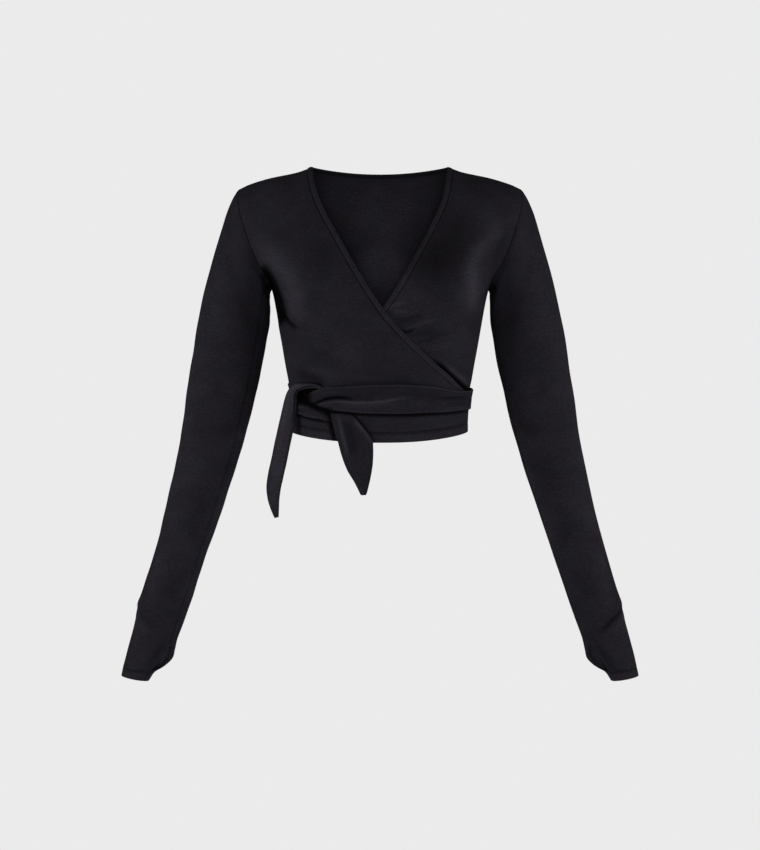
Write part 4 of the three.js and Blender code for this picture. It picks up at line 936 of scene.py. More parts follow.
def shell(name, middle, normal, outer, inner, material, around=False, painted_shading=0.0, inside=0.0, lengthwise=False):
    """A closed sheet of cloth whose two faces stand off a middle surface. Its map is in metres of cloth, with
    the knitted courses across its rows or lengthwise. Its painted shading, painted shade and highlight, is
    how much lighter or darker than its dye the cloth is painted, as a power of e, and its inner face may add
    more."""
    rows, columns = middle.shape[:2]
    faces_out = middle + normal * outer[..., None]
    faces_in = middle + normal * inner[..., None]
    points = np.concatenate([faces_out.reshape(-1, 3), faces_in.reshape(-1, 3)]) * MM
    u = np.concatenate([steps_between(middle, 1), np.zeros((rows, 1))], axis=1)
    if around:
        u[:, -1] = u[:, -2] + np.linalg.norm(middle[:, 0] - middle[:, -1], axis=-1)
    u -= u[:, :1] + (u[:, columns - 1 : columns] - u[:, :1]) / 2
    v = np.median(steps_between(middle, 0), axis=1)[:, None] + np.zeros_like(u)
    cloth_map = np.stack([v, u] if lengthwise else [u, v], axis=-1) * MM

    r, c = np.meshgrid(np.arange(rows - 1), np.arange(columns if around else columns - 1), indexing="ij")
    r, c = r.ravel(), c.ravel()
    corners = [(r, c), (r, c + 1), (r + 1, c + 1), (r + 1, c)]
    number = [row * columns + column % columns for row, column in corners]
    spots = [cloth_map[row, column] for row, column in corners]
    quads = [np.stack(number, axis=1), np.stack(number[::-1], axis=1) + rows * columns]
    maps = [np.stack(spots, axis=1), np.stack(spots[::-1], axis=1)]

    def rim(row, column, next_row, next_column):
        here = row * columns + column % columns
        there = next_row * columns + next_column % columns
        quads.append(np.stack([here, here + rows * columns, there + rows * columns, there], axis=1))
        near, far = cloth_map[row, column], cloth_map[next_row, next_column]
        maps.append(np.stack([near, near, far, far], axis=1))

    columns_from = np.arange(columns if around else columns - 1)
    first, last = np.zeros_like(columns_from), np.full_like(columns_from, rows - 1)
    rim(first, columns_from, first, columns_from + 1)
    rim(last, columns_from + 1, last, columns_from)
    if not around:
        rows_from = np.arange(rows - 1)
        left, right = np.zeros_like(rows_from), np.full_like(rows_from, columns - 1)
        rim(rows_from + 1, left, rows_from, left)
        rim(rows_from, right, rows_from + 1, right)
    quads, maps = np.concatenate(quads), np.concatenate(maps)
    if signed_volume(points, quads) < 0:
        quads, maps = quads[:, ::-1], maps[:, ::-1]
    # painted shade and highlights of both faces; the inner face may have painted light of its own added
    painted_shading_factors = np.concatenate([np.ravel(painted_shading + face + np.zeros((rows, columns))) for face in (0, inside)])
    return mesh_object(name, points, quads, material, maps, np.exp(np.clip(painted_shading_factors, *PAINTED_SHADING_RANGE)))


def mesh_object(name, points, faces, material, maps=None, painted_shading_factors=None):
    mesh = bpy.data.meshes.new(name)
    mesh.from_pydata(points.tolist(), [], faces.tolist())
    if maps is not None:
        mesh.uv_layers.new(name="Cloth").uv.foreach_set("vector", maps.astype(np.float32).ravel())
    # painted shade and highlights, one factor for each corner, which multiply the cloth's colour
    looks = np.ones(faces.size) if painted_shading_factors is None else painted_shading_factors[faces.ravel()]
    mesh.attributes.new("PaintedShading", "FLOAT", "CORNER").data.foreach_set("value", looks.astype(np.float32))
    mesh.update()
    mesh.shade_smooth()
    mesh.materials.append(material)
    made = bpy.data.objects.new(name, mesh)
    bpy.context.scene.collection.objects.link(made)
    return made


# Fronts


def front_lift(is_over, x, z):
    """The fronts lie in two layers where they cross; a front is not lifted at its own side seam."""
    share = np.clip(x / half_width(np.minimum(z, ARMPIT_Z)), -1, 1)
    crossed = 1 - smooth_step(z, CROSSED_BELOW, CROSSED_ABOVE)
    return (LAYER_STEP / 2) * (1 + share if is_over else share - 1) * crossed


def edge_x(table, z):
    end = half_width(np.minimum(z, ARMPIT_Z)) * sideways(OVERLAP_END)
    return np.minimum(along(table, "z", "x", z), np.where(z < ARMPIT_Z, end, 1e3))


def seam_x(table, z):
    """Where a front's panel stops and its neck band starts."""
    slant = np.hypot(1, (edge_x(table, z + 1) - edge_x(table, z - 1)) / 2)
    tapered = smooth_step(z, table["z"][0] + 2, table["z"][0] + 14)
    return edge_x(table, z) - tapered * BAND_WIDTH * slant


def meet(rows, edge):
    """The x at which upper rows meet an edge given as x of z."""
    x = edge(rows["z"])
    for _ in range(30):
        x = mix(x, edge(row_z(rows, shoulder_height, x)), 0.6)
    return x


def share_across(share, rows, edge):
    """Even at the shoulder, by angle at the armpit, where the body's side rounds away."""
    turn = mix(90, angle_at(edge, ARMPIT_Z), share)
    by_angle = (1 - sideways(turn)) / (1 - edge / ARMPIT_X)
    return mix(share, by_angle, rows["share"] ** 2)


class Front:
    """One front: its panel from the side seam to the band, and its neck band."""

    def __init__(self, side, is_over, table):
        self.side, self.is_over, self.table = side, is_over, table
        self.rows = upper_rows()
        self.level, self.dip = lower_rows()
        self.count = len(self.rows["z"]) + len(self.level)
        self.seam = meet(self.rows, lambda z: seam_x(table, z))
        self.edge = meet(self.rows, lambda z: edge_x(table, z))
        self.seam_angle = np.minimum(angle_at(seam_x(table, self.level), self.level), OVERLAP_END)
        self.edge_angle = np.minimum(angle_at(edge_x(table, self.level), self.level), OVERLAP_END)

    def places(self, share, is_band):
        """x and z at shares across each row."""
        split = len(self.rows["z"])
        top, low = share[:split], share[split:]
        if is_band:
            x = mix(self.seam, self.edge, top)
            angle = mix(self.seam_angle, self.edge_angle, low)
        else:
            own = share_across(top, self.rows, -seam_x(self.table, ARMPIT_Z))
            x = mix(-self.rows["x"], self.seam, own)
            angle = mix(-90, self.seam_angle, low)
        z = row_z(self.rows, shoulder_height, x)
        low_z = self.level + self.dip * (hem_height(angle) - HEM_SIDE)
        low_x = half_width(low_z) * sideways(angle)
        return self.side * np.concatenate([x, low_x]), np.concatenate([z, low_z])

    def surface(self, share, is_band, lift=0.0):
        x, z = self.places(share, is_band)
        return on_body(False, x, z, front_lift(self.is_over, x, z) + lift)

    def creases(self, x, z):
        x = x * flare(x, z)
        own = 0 if self.is_over else crease_height(UNDER_CREASES, x, z)
        return crease_height(FRONT_CREASES, x, z) + own + 0.35 * ripple(x, z, 1)

    # painted highlights and painted shade of a front, with painted shading from its creases' relief
    def shades(self, share, is_band, height):
        x, z = self.places(share, is_band)
        x = x * flare(x, z)
        own = 0 if self.is_over else crease_height(UNDER_SHADES, x, z)
        return crease_height(FRONT_SHADES, x, z) + own + RELIEF_PAINTED_SHADING * height

    def grid(self, is_band, lift, spacing):
        """Middle surface with creases, and distances from its edges."""
        share, across, total = evened(lambda s: self.surface(s, is_band)[0], self.count, spacing)
        plain, normal = self.surface(share, is_band, lift)
        x, z = self.places(share, is_band)
        from_top = steps_between(plain, 0)
        from_hem = from_top[-1:] - from_top
        fade = smooth_step(from_top, 0, 10)
        if not is_band:
            fade = fade * smooth_step(across, 0, 9)
        height = self.creases(x, z) * fade
        middle = plain + normal * height[..., None]
        if not is_band:
            middle[:, 0, 1] -= SEAM_PARTING / 2
        self.painted_shading = self.shades(share, is_band, height)
        return middle, facing(grid_normal(middle), normal), across, total - across, from_top, from_hem

    def panel(self, name, material):
        middle, normal, from_side, from_band, from_top, from_hem = self.grid(
            False, 0.0, lambda total: places_across(total, FRONT_COLUMNS)
        )
        below = np.arange(self.count)[:, None] >= len(self.rows["z"]) + BAND_END_ROW
        at_band = np.where(below, FAR, from_band)
        outer = hem_outside(seam_dip(from_side) + seam_dip(at_band) + seam_dip(from_top), from_hem)
        # painted highlight along the front's edge beside the band, low on the front
        low = 1 - smooth_step(self.places(np.ones((self.count, 1)), False)[1], *EDGE_PAINTED_HIGHLIGHT_Z)
        edge_painted_highlight = EDGE_PAINTED_HIGHLIGHT * groove(at_band - 1.5, 0.7) * low
        # dark seam lines, the painted highlight beside the band, and painted shade in the stitched rows with
        # the turned hem painted lighter
        painted_shading = self.painted_shading + seam_shade(from_side) + seam_shade(at_band) + seam_shade(from_top) + edge_painted_highlight
        painted_shading = painted_shading + stitch_shade(from_hem)
        made = shell(name, middle, normal, outer, hem_inside(from_hem), material, painted_shading=painted_shading)
        return made, stitch_rows(middle, normal, outer, from_hem[:, 20])

    def band(self, name, material):
        flush = (1 if self.is_over else -1) * (BAND_CLOTH - CLOTH) / 2
        shares = np.array([0, 0.03, 0.08, 0.15, 0.2, 0.25, 0.32, 0.45, 0.6, 0.75, 0.87, 0.94, 0.98, 1])
        middle, normal, from_seam, from_edge, from_top, _ = self.grid(
            True, flush, lambda total: total * shares[None, :]
        )
        last = int(np.argmax((from_seam + from_edge)[:, 0] < 1.2)) or self.count
        middle, normal = middle[:last], normal[:last]
        from_seam, from_edge, from_top = from_seam[:last], from_edge[:last], from_top[:last]
        crown = BAND_CROWN * np.sin(np.pi * np.clip(from_seam / BAND_WIDTH, 0, 1))
        outer, inner, round_off = band_faces(crown, from_seam, from_edge)
        outer = outer - seam_dip(from_top)
        # painted shading from the front's lines and creases, dark seam lines, and painted shade on the band's
        # rounded free edge
        painted_shading = self.painted_shading[:last] + seam_shade(from_seam) + seam_shade(from_top) - 0.5 * round_off
        made = shell(name, middle, normal, outer, inner, material, painted_shading=painted_shading)
        column = int(np.argmin(np.abs(from_seam[0] - BAND_STITCH)))
        path = middle[:, column] + normal[:, column] * outer[:, column][:, None]
        return made, (path, normal[:, column])


# Back


def neck_curve(drop, half_span, x):
    return shoulder_height(half_span) - drop * (1 - np.clip(np.abs(x) / half_span, 0, 1) ** 2)


def back_top(x):
    neck = neck_curve(BACK_SEAM_DROP, BACK_SEAM_X, x)
    return np.where(np.abs(x) >= BACK_SEAM_X, shoulder_height(x), neck)


def back_places(part, share):
    """x and z across each row of one of the back's three parts: the sides, and the middle under the neck."""
    rows = upper_rows()
    level, dip = lower_rows()
    split = len(rows["z"])
    top, low = share[:split], share[split:]
    rest = rows["share"] ** 2
    low_corner = ARMPIT_X * sideways(BACK_CORNER)
    corner = mix(BACK_SEAM_X, low_corner, rest)
    if part == 0:
        angle = mix(-BACK_CORNER, BACK_CORNER, low)
        turn = np.radians(mix(-90, 90, top))
        x = mix(BACK_SEAM_X * np.sin(turn), ARMPIT_X * sideways(mix(-BACK_CORNER, BACK_CORNER, top)), rest)
    else:
        angle = mix(90, BACK_CORNER, low)
        x = mix(rows["x"], corner, share_across(top, rows, low_corner))
    z = row_z(rows, back_top, x)
    low_z = level + dip * (hem_height(180 - angle) - HEM_SIDE)
    low_x = half_width(low_z) * sideways(angle)
    x, z = np.concatenate([x, low_x]), np.concatenate([z, low_z])
    return (part or 1) * x, z


def back_panel(material):
    count = len(upper_rows()["z"]) + len(lower_rows()[0])
    parts = []
    for part, columns in BACK_PARTS:
        even = np.linspace(0, 1, columns)[None, :]

        def spacing(total, part=part, even=even):
            if part == 0:
                return total * even
            rest = SEAM_ROWS[-1] + (total - SEAM_ROWS[-1]) * even[:, 1:]
            return np.concatenate([np.broadcast_to(SEAM_ROWS, (len(total), len(SEAM_ROWS))), rest], axis=1)

        def place(share, part=part):
            return on_body(True, *back_places(part, share))[0]

        share, across, _ = evened(place, count, spacing)
        x, z = back_places(part, share)
        edge = across if part else np.full_like(across, FAR)
        if part > 0:
            x, z, edge = x[:, ::-1], z[:, ::-1], edge[:, ::-1]
        shared = 1 if parts else 0
        parts.append([field[:, shared:] for field in (x, z, edge)])
    x, z, from_side = (np.concatenate(fields, axis=1) for fields in zip(*parts))
    plain, normal = on_body(True, x, z)
    from_top = steps_between(plain, 0)
    from_hem = from_top[-1:] - from_top
    fade = smooth_step(from_top, 0, 12) * smooth_step(from_side, 0, 9)
    bumps = (crease_height(BACK_CREASES, x * flare(x, z), z) + 0.4 * ripple(x, z, 2)) * fade
    middle = plain + normal * bumps[..., None]
    middle[:, [0, -1], 1] += SEAM_PARTING / 2
    normal = facing(grid_normal(middle), normal)
    outer = hem_outside(seam_dip(from_side) + seam_dip(from_top), from_hem)
    inner = hem_inside(from_hem)
    # painted shading from the creases' relief, dark seam lines and painted shade in the stitched rows; the
    # inner face gets painted light, with painted shade along the neck opening's edges
    painted_shading = RELIEF_PAINTED_SHADING * bumps + seam_shade(from_side) + seam_shade(from_top) + stitch_shade(from_hem)
    inside = INSIDE_PAINTED_LIGHT + crease_height(INSIDE_SHADES, x, z)
    made = shell("cloth_back", middle, normal, outer, inner, material, painted_shading=painted_shading, inside=inside)
    return made, stitch_rows(middle, normal, outer, from_hem[:, 60])


def back_band(material):
    turn = np.cos(np.linspace(0, math.pi, 150))[:, None]
    share = np.array([0, 0.04, 0.1, 0.2, 0.28, 0.4, 0.55, 0.7, 0.85, 0.93, 0.98, 1])[None, :]
    span = mix(BACK_SEAM_X - SEAM_PARTING, NECK_HALF, share)
    x = turn * span
    z = neck_curve(mix(BACK_SEAM_DROP - SEAM_PARTING, BACK_RIM_DROP, share), span, x)
    middle, normal = on_body(True, x, z)
    from_seam = steps_between(middle, 1)
    from_edge = from_seam[:, -1:] - from_seam
    normal = facing(grid_normal(middle), normal)
    outer, inner, _ = band_faces(BACK_BAND_CROWN, from_seam, from_edge)
    made = shell("band_neck_back", middle, normal, outer, inner, material)
    column = 4  # the column nearest to the stitching
    return made, (middle[:, column] + normal[:, column] * outer[:, column][:, None], normal[:, column])


# Sleeves


def ring_frame(outer_x, outer_z, inner_x, inner_z):
    """Centre, half length and the three directions of a ring: across, forward and down."""
    outer, inner = np.array([outer_x, 0, outer_z]), np.array([inner_x, 0, inner_z])
    across = outer - inner
    half = np.linalg.norm(across) / 2
    across = across / (2 * half)
    forward = np.array([0.0, -1.0, 0.0])
    return (outer + inner) / 2, half, across, forward, np.cross(forward, across)


def sleeve_rings(side):
    """Rings of middle-surface points, the first on the armhole. They are for the wearer's left."""
    s = np.arange(SLEEVE_AROUND) * 2 / SLEEVE_AROUND
    is_back = s > 1
    z = ARMPIT_Z + ARMHOLE_HALF + ARMHOLE_HALF * np.cos(np.pi * np.where(is_back, 2 - s, s))
    x = armhole_x(z) * SIDE_SHARE
    loop, normal = on_body(is_back, side * x, z)
    loop[:, 0], normal[:, 0] = x, normal[:, 0] * side
    loop[0, 1] = 0
    centre, half, across, forward, down = ring_frame(SHOULDER_TIP_X, SHOULDER_TIP_Z, ARMPIT_X, ARMPIT_Z)
    local = [(loop - centre) @ across / half, (loop - centre) @ forward, (loop - centre) @ down]
    rings = []
    for k in range(len(SLEEVE_RINGS["depth"])):
        row = {name: column[k] for name, column in SLEEVE_RINGS.items()}
        centre, half, across, forward, down = ring_frame(
            row["outer_x"], row["outer_z"], row["inner_x"], row["inner_z"]
        )
        part = np.stack(
            [
                mix(local[0], np.cos(np.pi * s), row["oval"]) * half,
                mix(local[1], np.sin(np.pi * s) * row["depth"], row["oval"]),
                local[2] * (1 - row["oval"]),
            ],
            axis=-1,
        )
        rings.append(centre + part @ np.stack([across, forward, down]))
    return np.stack([loop + unit(rings[0] - loop) * SEAM_PARTING, *rings])


def sleeve(name, side, material):
    rings = sleeve_rings(side)
    knots = lengths_along(rings.mean(axis=1))
    length = knots[-1]
    cuff = hem_places(True)[::-1]
    body = np.arange(SEAM_ROWS[-1] + SLEEVE_STEP, length - cuff[0] - 1, SLEEVE_STEP)
    down = np.concatenate([SEAM_ROWS, body, length - cuff])
    middle = smooth_through(rings, knots, down)
    down = down[:, None]
    turn = np.arange(SLEEVE_AROUND)[None, :] * 360 / SLEEVE_AROUND
    wave = np.sin(np.radians(turn))
    middle[..., 2] += CUFF_RISE * np.maximum(wave, 0) * smooth_step(down, length - 60, length)
    normal = grid_normal(middle, around=True)
    normal = facing(normal, middle - middle.mean(axis=1, keepdims=True))
    bumps = crease_height(stretched(SLEEVE_CREASES, AROUND_MM), turn * AROUND_MM, down)
    bumps = bumps + 0.5 * ripple(wave * 60, down, 3 + side)
    from_cuff = length - down + 0 * turn
    bumps = bumps * (smooth_step(down, 0, 8) * smooth_step(from_cuff, 2, 20))
    from_seam = np.abs(turn - UNDERARM_SEAM[side]) * AROUND_MM
    middle = middle + normal * bumps[..., None]
    normal = facing(grid_normal(middle, around=True), normal)
    dips = seam_dip(down + 0 * turn) + UNDERARM_DIP * groove(from_seam, UNDERARM_DIP_SPREAD)
    outer = hem_outside(dips, from_cuff)
    inner = hem_inside(from_cuff)
    # painted shading from the creases' relief, dark seam lines, painted shade in the stitched rows and at the
    # armpit, and painted highlights down the sides
    painted_shading = RELIEF_PAINTED_SHADING * bumps + seam_shade(down) + stitch_shade(from_cuff)
    shades = stretched(SLEEVE_SHADES[side] + CUFF_SHADES, AROUND_MM)
    painted_shading = painted_shading + crease_height(shades, turn * AROUND_MM, down)
    painted_shading = painted_shading - UNDERARM_SHADE * groove(from_seam, UNDERARM_SHADE_SPREAD)
    # painted light on the inner face near the cuff, seen through the thumb hole
    inside = THUMB_INSIDE_PAINTED_LIGHT * smooth_step(from_cuff, 110, 62) * smooth_step(from_cuff, 4, 14)
    mirror = np.array([side, 1, 1])
    middle, normal = middle * mirror, normal * mirror
    made = shell(name, middle, normal, outer, inner, material, around=True, painted_shading=painted_shading, inside=inside)
    rows = stitch_rows(middle, normal, outer, from_cuff[:, 0])
    return made, [tuple(np.vstack([line, line[:1]]) for line in row) for row in rows]


def thumb_axes(side):
    """Directions of the thumb hole: along its width, along its length and through the cloth."""
    lean, turn = math.radians(THUMB_HOLE["lean"]), math.radians(-THUMB_HOLE["turn"])

    def placed(x, y, depth):
        """A direction of the flat hole, stood up and turned towards the inner side."""
        x, y, z = x * math.cos(lean) - y * math.sin(lean), -depth, x * math.sin(lean) + y * math.cos(lean)
        x, y = x * math.cos(turn) - y * math.sin(turn), x * math.sin(turn) + y * math.cos(turn)
        return Vector((side * x, y, z))

    return placed(1, 0, 0), placed(0, 1, 0), placed(0, 0, 1)


def applied(made):
    """Turns an object's modifiers into its own mesh."""
    bpy.context.view_layer.update()
    depsgraph = bpy.context.evaluated_depsgraph_get()
    mesh = bpy.data.meshes.new_from_object(made.evaluated_get(depsgraph), depsgraph=depsgraph)
    old = made.data
    made.modifiers.clear()
    made.data = mesh
    bpy.data.meshes.remove(old)


def removed(made):
    mesh = made.data
    bpy.data.objects.remove(made)
    bpy.data.meshes.remove(mesh)


def cut_thumb_hole(made, side):
    """Cuts the hole through the sleeve's wall. Gives the line round its edge and the normals there."""
    wide, long, through = thumb_axes(side)
    centre = Vector(THUMB_HOLE["centre"])
    centre.x *= side
    count = THUMB_HOLE["corners"]
    turns = np.arange(count) * 2 * math.pi / count
    outline = [
        wide * THUMB_HOLE["half_width"] * math.cos(a) + long * THUMB_HOLE["half_length"] * math.sin(a)
        for a in turns
    ]
    ends = [centre + p + through * (sign * THUMB_HOLE["cut"] / 2) for sign in (-1, 1) for p in outline]
    mesh = bpy.data.meshes.new("thumb_cutter")
    walls = [(i, (i + 1) % count, (i + 1) % count + count, i + count) for i in range(count)]
    caps = [list(range(count))[::-1], list(range(count, 2 * count))]
    mesh.from_pydata([p * MM for p in ends], [], [*walls, *caps])
    solid = bmesh.new()
    solid.from_mesh(mesh)
    bmesh.ops.recalc_face_normals(solid, faces=solid.faces)
    solid.to_mesh(mesh)
    solid.free()
    cutter = bpy.data.objects.new("thumb_cutter", mesh)
    bpy.context.scene.collection.objects.link(cutter)
    tree = BVHTree.FromObject(made, bpy.context.evaluated_depsgraph_get())
    rim, rim_normal = [], []
    for p in outline:
        hit, normal, _, _ = tree.ray_cast((centre + p + through * THUMB_HOLE["ray_from"]) * MM, -through)
        rim.append(hit / MM)
        rim_normal.append(normal)
    cut = made.modifiers.new("thumb_hole", "BOOLEAN")
    cut.operation = "DIFFERENCE"
    cut.solver = "EXACT"
    cut.object = cutter
    applied(made)
    removed(cutter)
    made.data.set_sharp_from_angle(angle=math.radians(THUMB_HOLE["sharp"]))
    return np.array(rim), np.array(rim_normal)


def roll(name, path, normals, radius, material, sides=10):
    """A closed round roll of cloth along a line."""
    path = path - normals * CLOTH / 2
    tangent = unit(np.roll(path, -1, axis=0) - np.roll(path, 1, axis=0))
    across = unit(np.cross(tangent, normals))
    up = np.cross(across, tangent)
    a = np.arange(sides)[None, :, None] * 2 * math.pi / sides
    rings = path[:, None] + radius * (across[:, None] * np.cos(a) + up[:, None] * np.sin(a))
    r, c = (v.ravel() for v in np.meshgrid(np.arange(len(path)), np.arange(sides), indexing="ij"))
    corners = [(r, c), (r, c + 1), (r + 1, c + 1), (r + 1, c)]
    faces = np.stack([(row % len(path)) * sides + column % sides for row, column in corners], axis=1)
    long = np.linalg.norm(np.roll(path, -1, axis=0) - path, axis=-1).mean()
    maps = np.stack([np.stack([column * 0.6, row * long], axis=-1) * MM for row, column in corners], axis=1)
    made = mesh_object(name, rings.reshape(-1, 3) * MM, faces, material, maps)
    if signed_volume(rings.reshape(-1, 3), faces) < 0:
        made.data.flip_normals()
    return made


# Sash


def rounded(distance, width, thickness, radius):
    """Half the thickness of a soft strip across its width, rounded at its two edges."""
    near = np.minimum(distance, width - distance)
    q = 1 - np.clip(near / radius, 0, 1)
    return thickness / 2 * np.maximum(np.sqrt(1 - q * q), 0.12)


def strip_shares(count):
    """Shares across a strip, closer together towards its edges."""
    t = np.linspace(0, 1, count)
    return mix(t, 0.5 - 0.5 * np.cos(np.pi * t), 0.6)[None, :]


def sash_on_body(name, table, material, creases=(), front_creases=(), shades=(), tucked=0):
    """A strip round the body; its last end may be tucked, over so many degrees, thin under another piece."""
    first, last = table["angle"][0], table["angle"][-1]
    angle = np.linspace(first, last, int((last - first) / STRIP_STEP) + 2)[:, None]
    share = strip_shares(STRIP_COLUMNS)
    value = {column: along(table, "angle", column, angle) for column in table}
    z = mix(value["top"], value["bottom"], share)
    width = value["top"] - value["bottom"]
    middle, normal = at_angle(angle, z, value["off"] + 0 * z)
    thin = 1 - TUCKED_THINNER * smooth_step(angle, last - tucked, last) if tucked else 1
    half = rounded(share * width, width, SASH_CLOTH, STRIP_ROUND) * thin
    near = np.minimum(share, 1 - share) * width
    relief = crease_height(stretched(creases, ANGLE_MM), angle * ANGLE_MM, z)
    relief = relief + 0.12 * ripple(angle * 4, z * 6, 7)
    in_front = np.cos(np.radians(angle)) > -0.1
    relief = relief + crease_height(front_creases, middle[..., 0], z) * in_front
    # painted highlights and painted shade on the strip: its listed lines, its creases' relief, a line beside
    # each edge and the edge itself
    shade = crease_height(shades, middle[..., 0], z) * in_front
    proud = FOLD_PROUD * value["fold"] * smooth_step((share - value["fold_line"]) * width, -1.2, 0.9)
    outer = half + (np.maximum(relief, -1.0) + proud) * smooth_step(near, 0, 1.4)
    edge_shade = STRIP_PAINTED_HIGHLIGHT * groove(near - STRIP_PAINTED_HIGHLIGHT_AT, STRIP_PAINTED_HIGHLIGHT_SPREAD)
    edge_shade = edge_shade - STRIP_EDGE_PAINTED_SHADE * groove(near, STRIP_EDGE_PAINTED_SHADE_SPREAD)
    painted_shading = RELIEF_PAINTED_SHADING * relief + shade + edge_shade
    return shell(name, middle, normal, outer, -half, material, painted_shading=painted_shading, lengthwise=True)


def free_strip(name, table, creases, shades, material):
    """A strip along a table of centres; those that have "off" and no "y" lie that far off the body."""
    centres = np.array(
        [
            on_body(False, s["x"], s["z"], s["off"])[0] if "off" in s else np.array([s["x"], s["y"], s["z"]])
            for s in table
        ]
    )
    knots = lengths_along(centres)
    at = np.linspace(0, knots[-1], 170)
    path = smooth_through(centres, knots, at)
    rows = {column: np.array([s[column] for s in table]) for column in ("half", "thick", "face_x")}
    rows["knot"] = knots
    half, thick, face_x = (along(rows, "knot", column, at)[:, None] for column in ("half", "thick", "face_x"))
    ahead = unit(np.gradient(path, axis=0))
    face = np.concatenate([face_x, -np.sqrt(1 - face_x**2), 0 * face_x], axis=1)
    across = unit(np.cross(ahead, face))
    out = np.cross(across, ahead)
    share = strip_shares(34) * 2 - 1
    middle = path[:, None] + across[:, None] * (share * half)[..., None]
    normal = np.broadcast_to(out[:, None], middle.shape)
    wall = rounded((share + 1) * half, 2 * half, thick, 2.2)
    near = (1 - np.abs(share)) * half
    relief = crease_height(creases, share * half, at[:, None]) * smooth_step(near, 0, 1.6)
    # painted shading from the creases' relief, with the painted shade and highlight
    painted_shading = RELIEF_PAINTED_SHADING * relief + crease_height(shades, share * half, at[:, None])
    return shell(name, middle, normal, wall + relief, -wall, material, painted_shading=painted_shading)


def short_end(name, material):
    """It lies on the body down to the hem and then hangs straight."""
    z = np.linspace(SHORT_END["z"][0], SHORT_END["z"][-1], 120)[:, None]
    left, right, off = (along(SHORT_END, "z", column, z) for column in ("left", "right", "off"))
    share = strip_shares(STRIP_COLUMNS)
    x = mix(left, right, share)
    on_z = np.maximum(z, HEM_SIDE - 1) + 0 * x
    middle, normal = on_body(False, x, on_z, off + 0 * x)
    middle[..., 2] += z - on_z
    width = np.abs(right - left)
    half = rounded(share * width, width, SASH_CLOTH, STRIP_ROUND)
    near = np.minimum(share, 1 - share) * width
    relief = crease_height(SHORT_END_CREASES, middle[..., 0], z) * smooth_step(near, 0, 1.4)
    # painted shading from the creases' relief, with the painted highlights and shadow
    painted_shading = RELIEF_PAINTED_SHADING * relief + crease_height(SHORT_END_SHADES, middle[..., 0], z)
    return shell(name, middle, normal, half + np.maximum(relief, -0.8), -half, material, painted_shading=painted_shading)


# Stitching


# Sections of a stitch: place along its length, share of its width, and height
STITCH_SECTIONS = ((-0.5, 0.3, -0.25), (-0.3, 1.0, 0.0), (0.3, 1.0, 0.0), (0.5, 0.3, -0.25))


def stitches(name, lines, material, pitch=3.0, length=2.3, width=0.45, proud=0.1):
    """Short raised stitches along lines given as points and normals."""
    points, faces = [], []
    for path, normals in lines:
        lengths = lengths_along(path)
        count = int(lengths[-1] / pitch)
        mids = (np.arange(count) + 0.5) * lengths[-1] / count

        def at(values, place, lengths=lengths):
            return np.stack([np.interp(place, lengths, values[:, i]) for i in range(3)], axis=-1)

        up = unit(at(normals, mids))
        ahead = unit(at(path, mids + 0.6) - at(path, mids - 0.6))
        beside = np.cross(ahead, up)
        for i in range(count):
            start = len(points)
            for place, scale, sunk in STITCH_SECTIONS:
                centre = at(path, mids[i : i + 1])[0] + ahead[i] * place * length + up[i] * (proud + sunk)
                for turn in range(4):
                    a = math.pi / 4 + turn * math.pi / 2
                    spoke = beside[i] * math.cos(a) + up[i] * math.sin(a)
                    points.append(centre + spoke * scale * width / 2)
            for k in range(3):
                for turn in range(4):
                    a, b = start + 4 * k + turn, start + 4 * k + (turn + 1) % 4
                    faces.append((a, b, b + 4, a + 4))
            faces.append((start + 3, start + 2, start + 1, start))
            faces.append((start + 12, start + 13, start + 14, start + 15))
    points, faces = np.array(points), np.array(faces)
    if signed_volume(points - points.mean(axis=0), faces) < 0:
        faces = faces[:, ::-1]
    return mesh_object(name, points * MM, faces, material)


# Materials


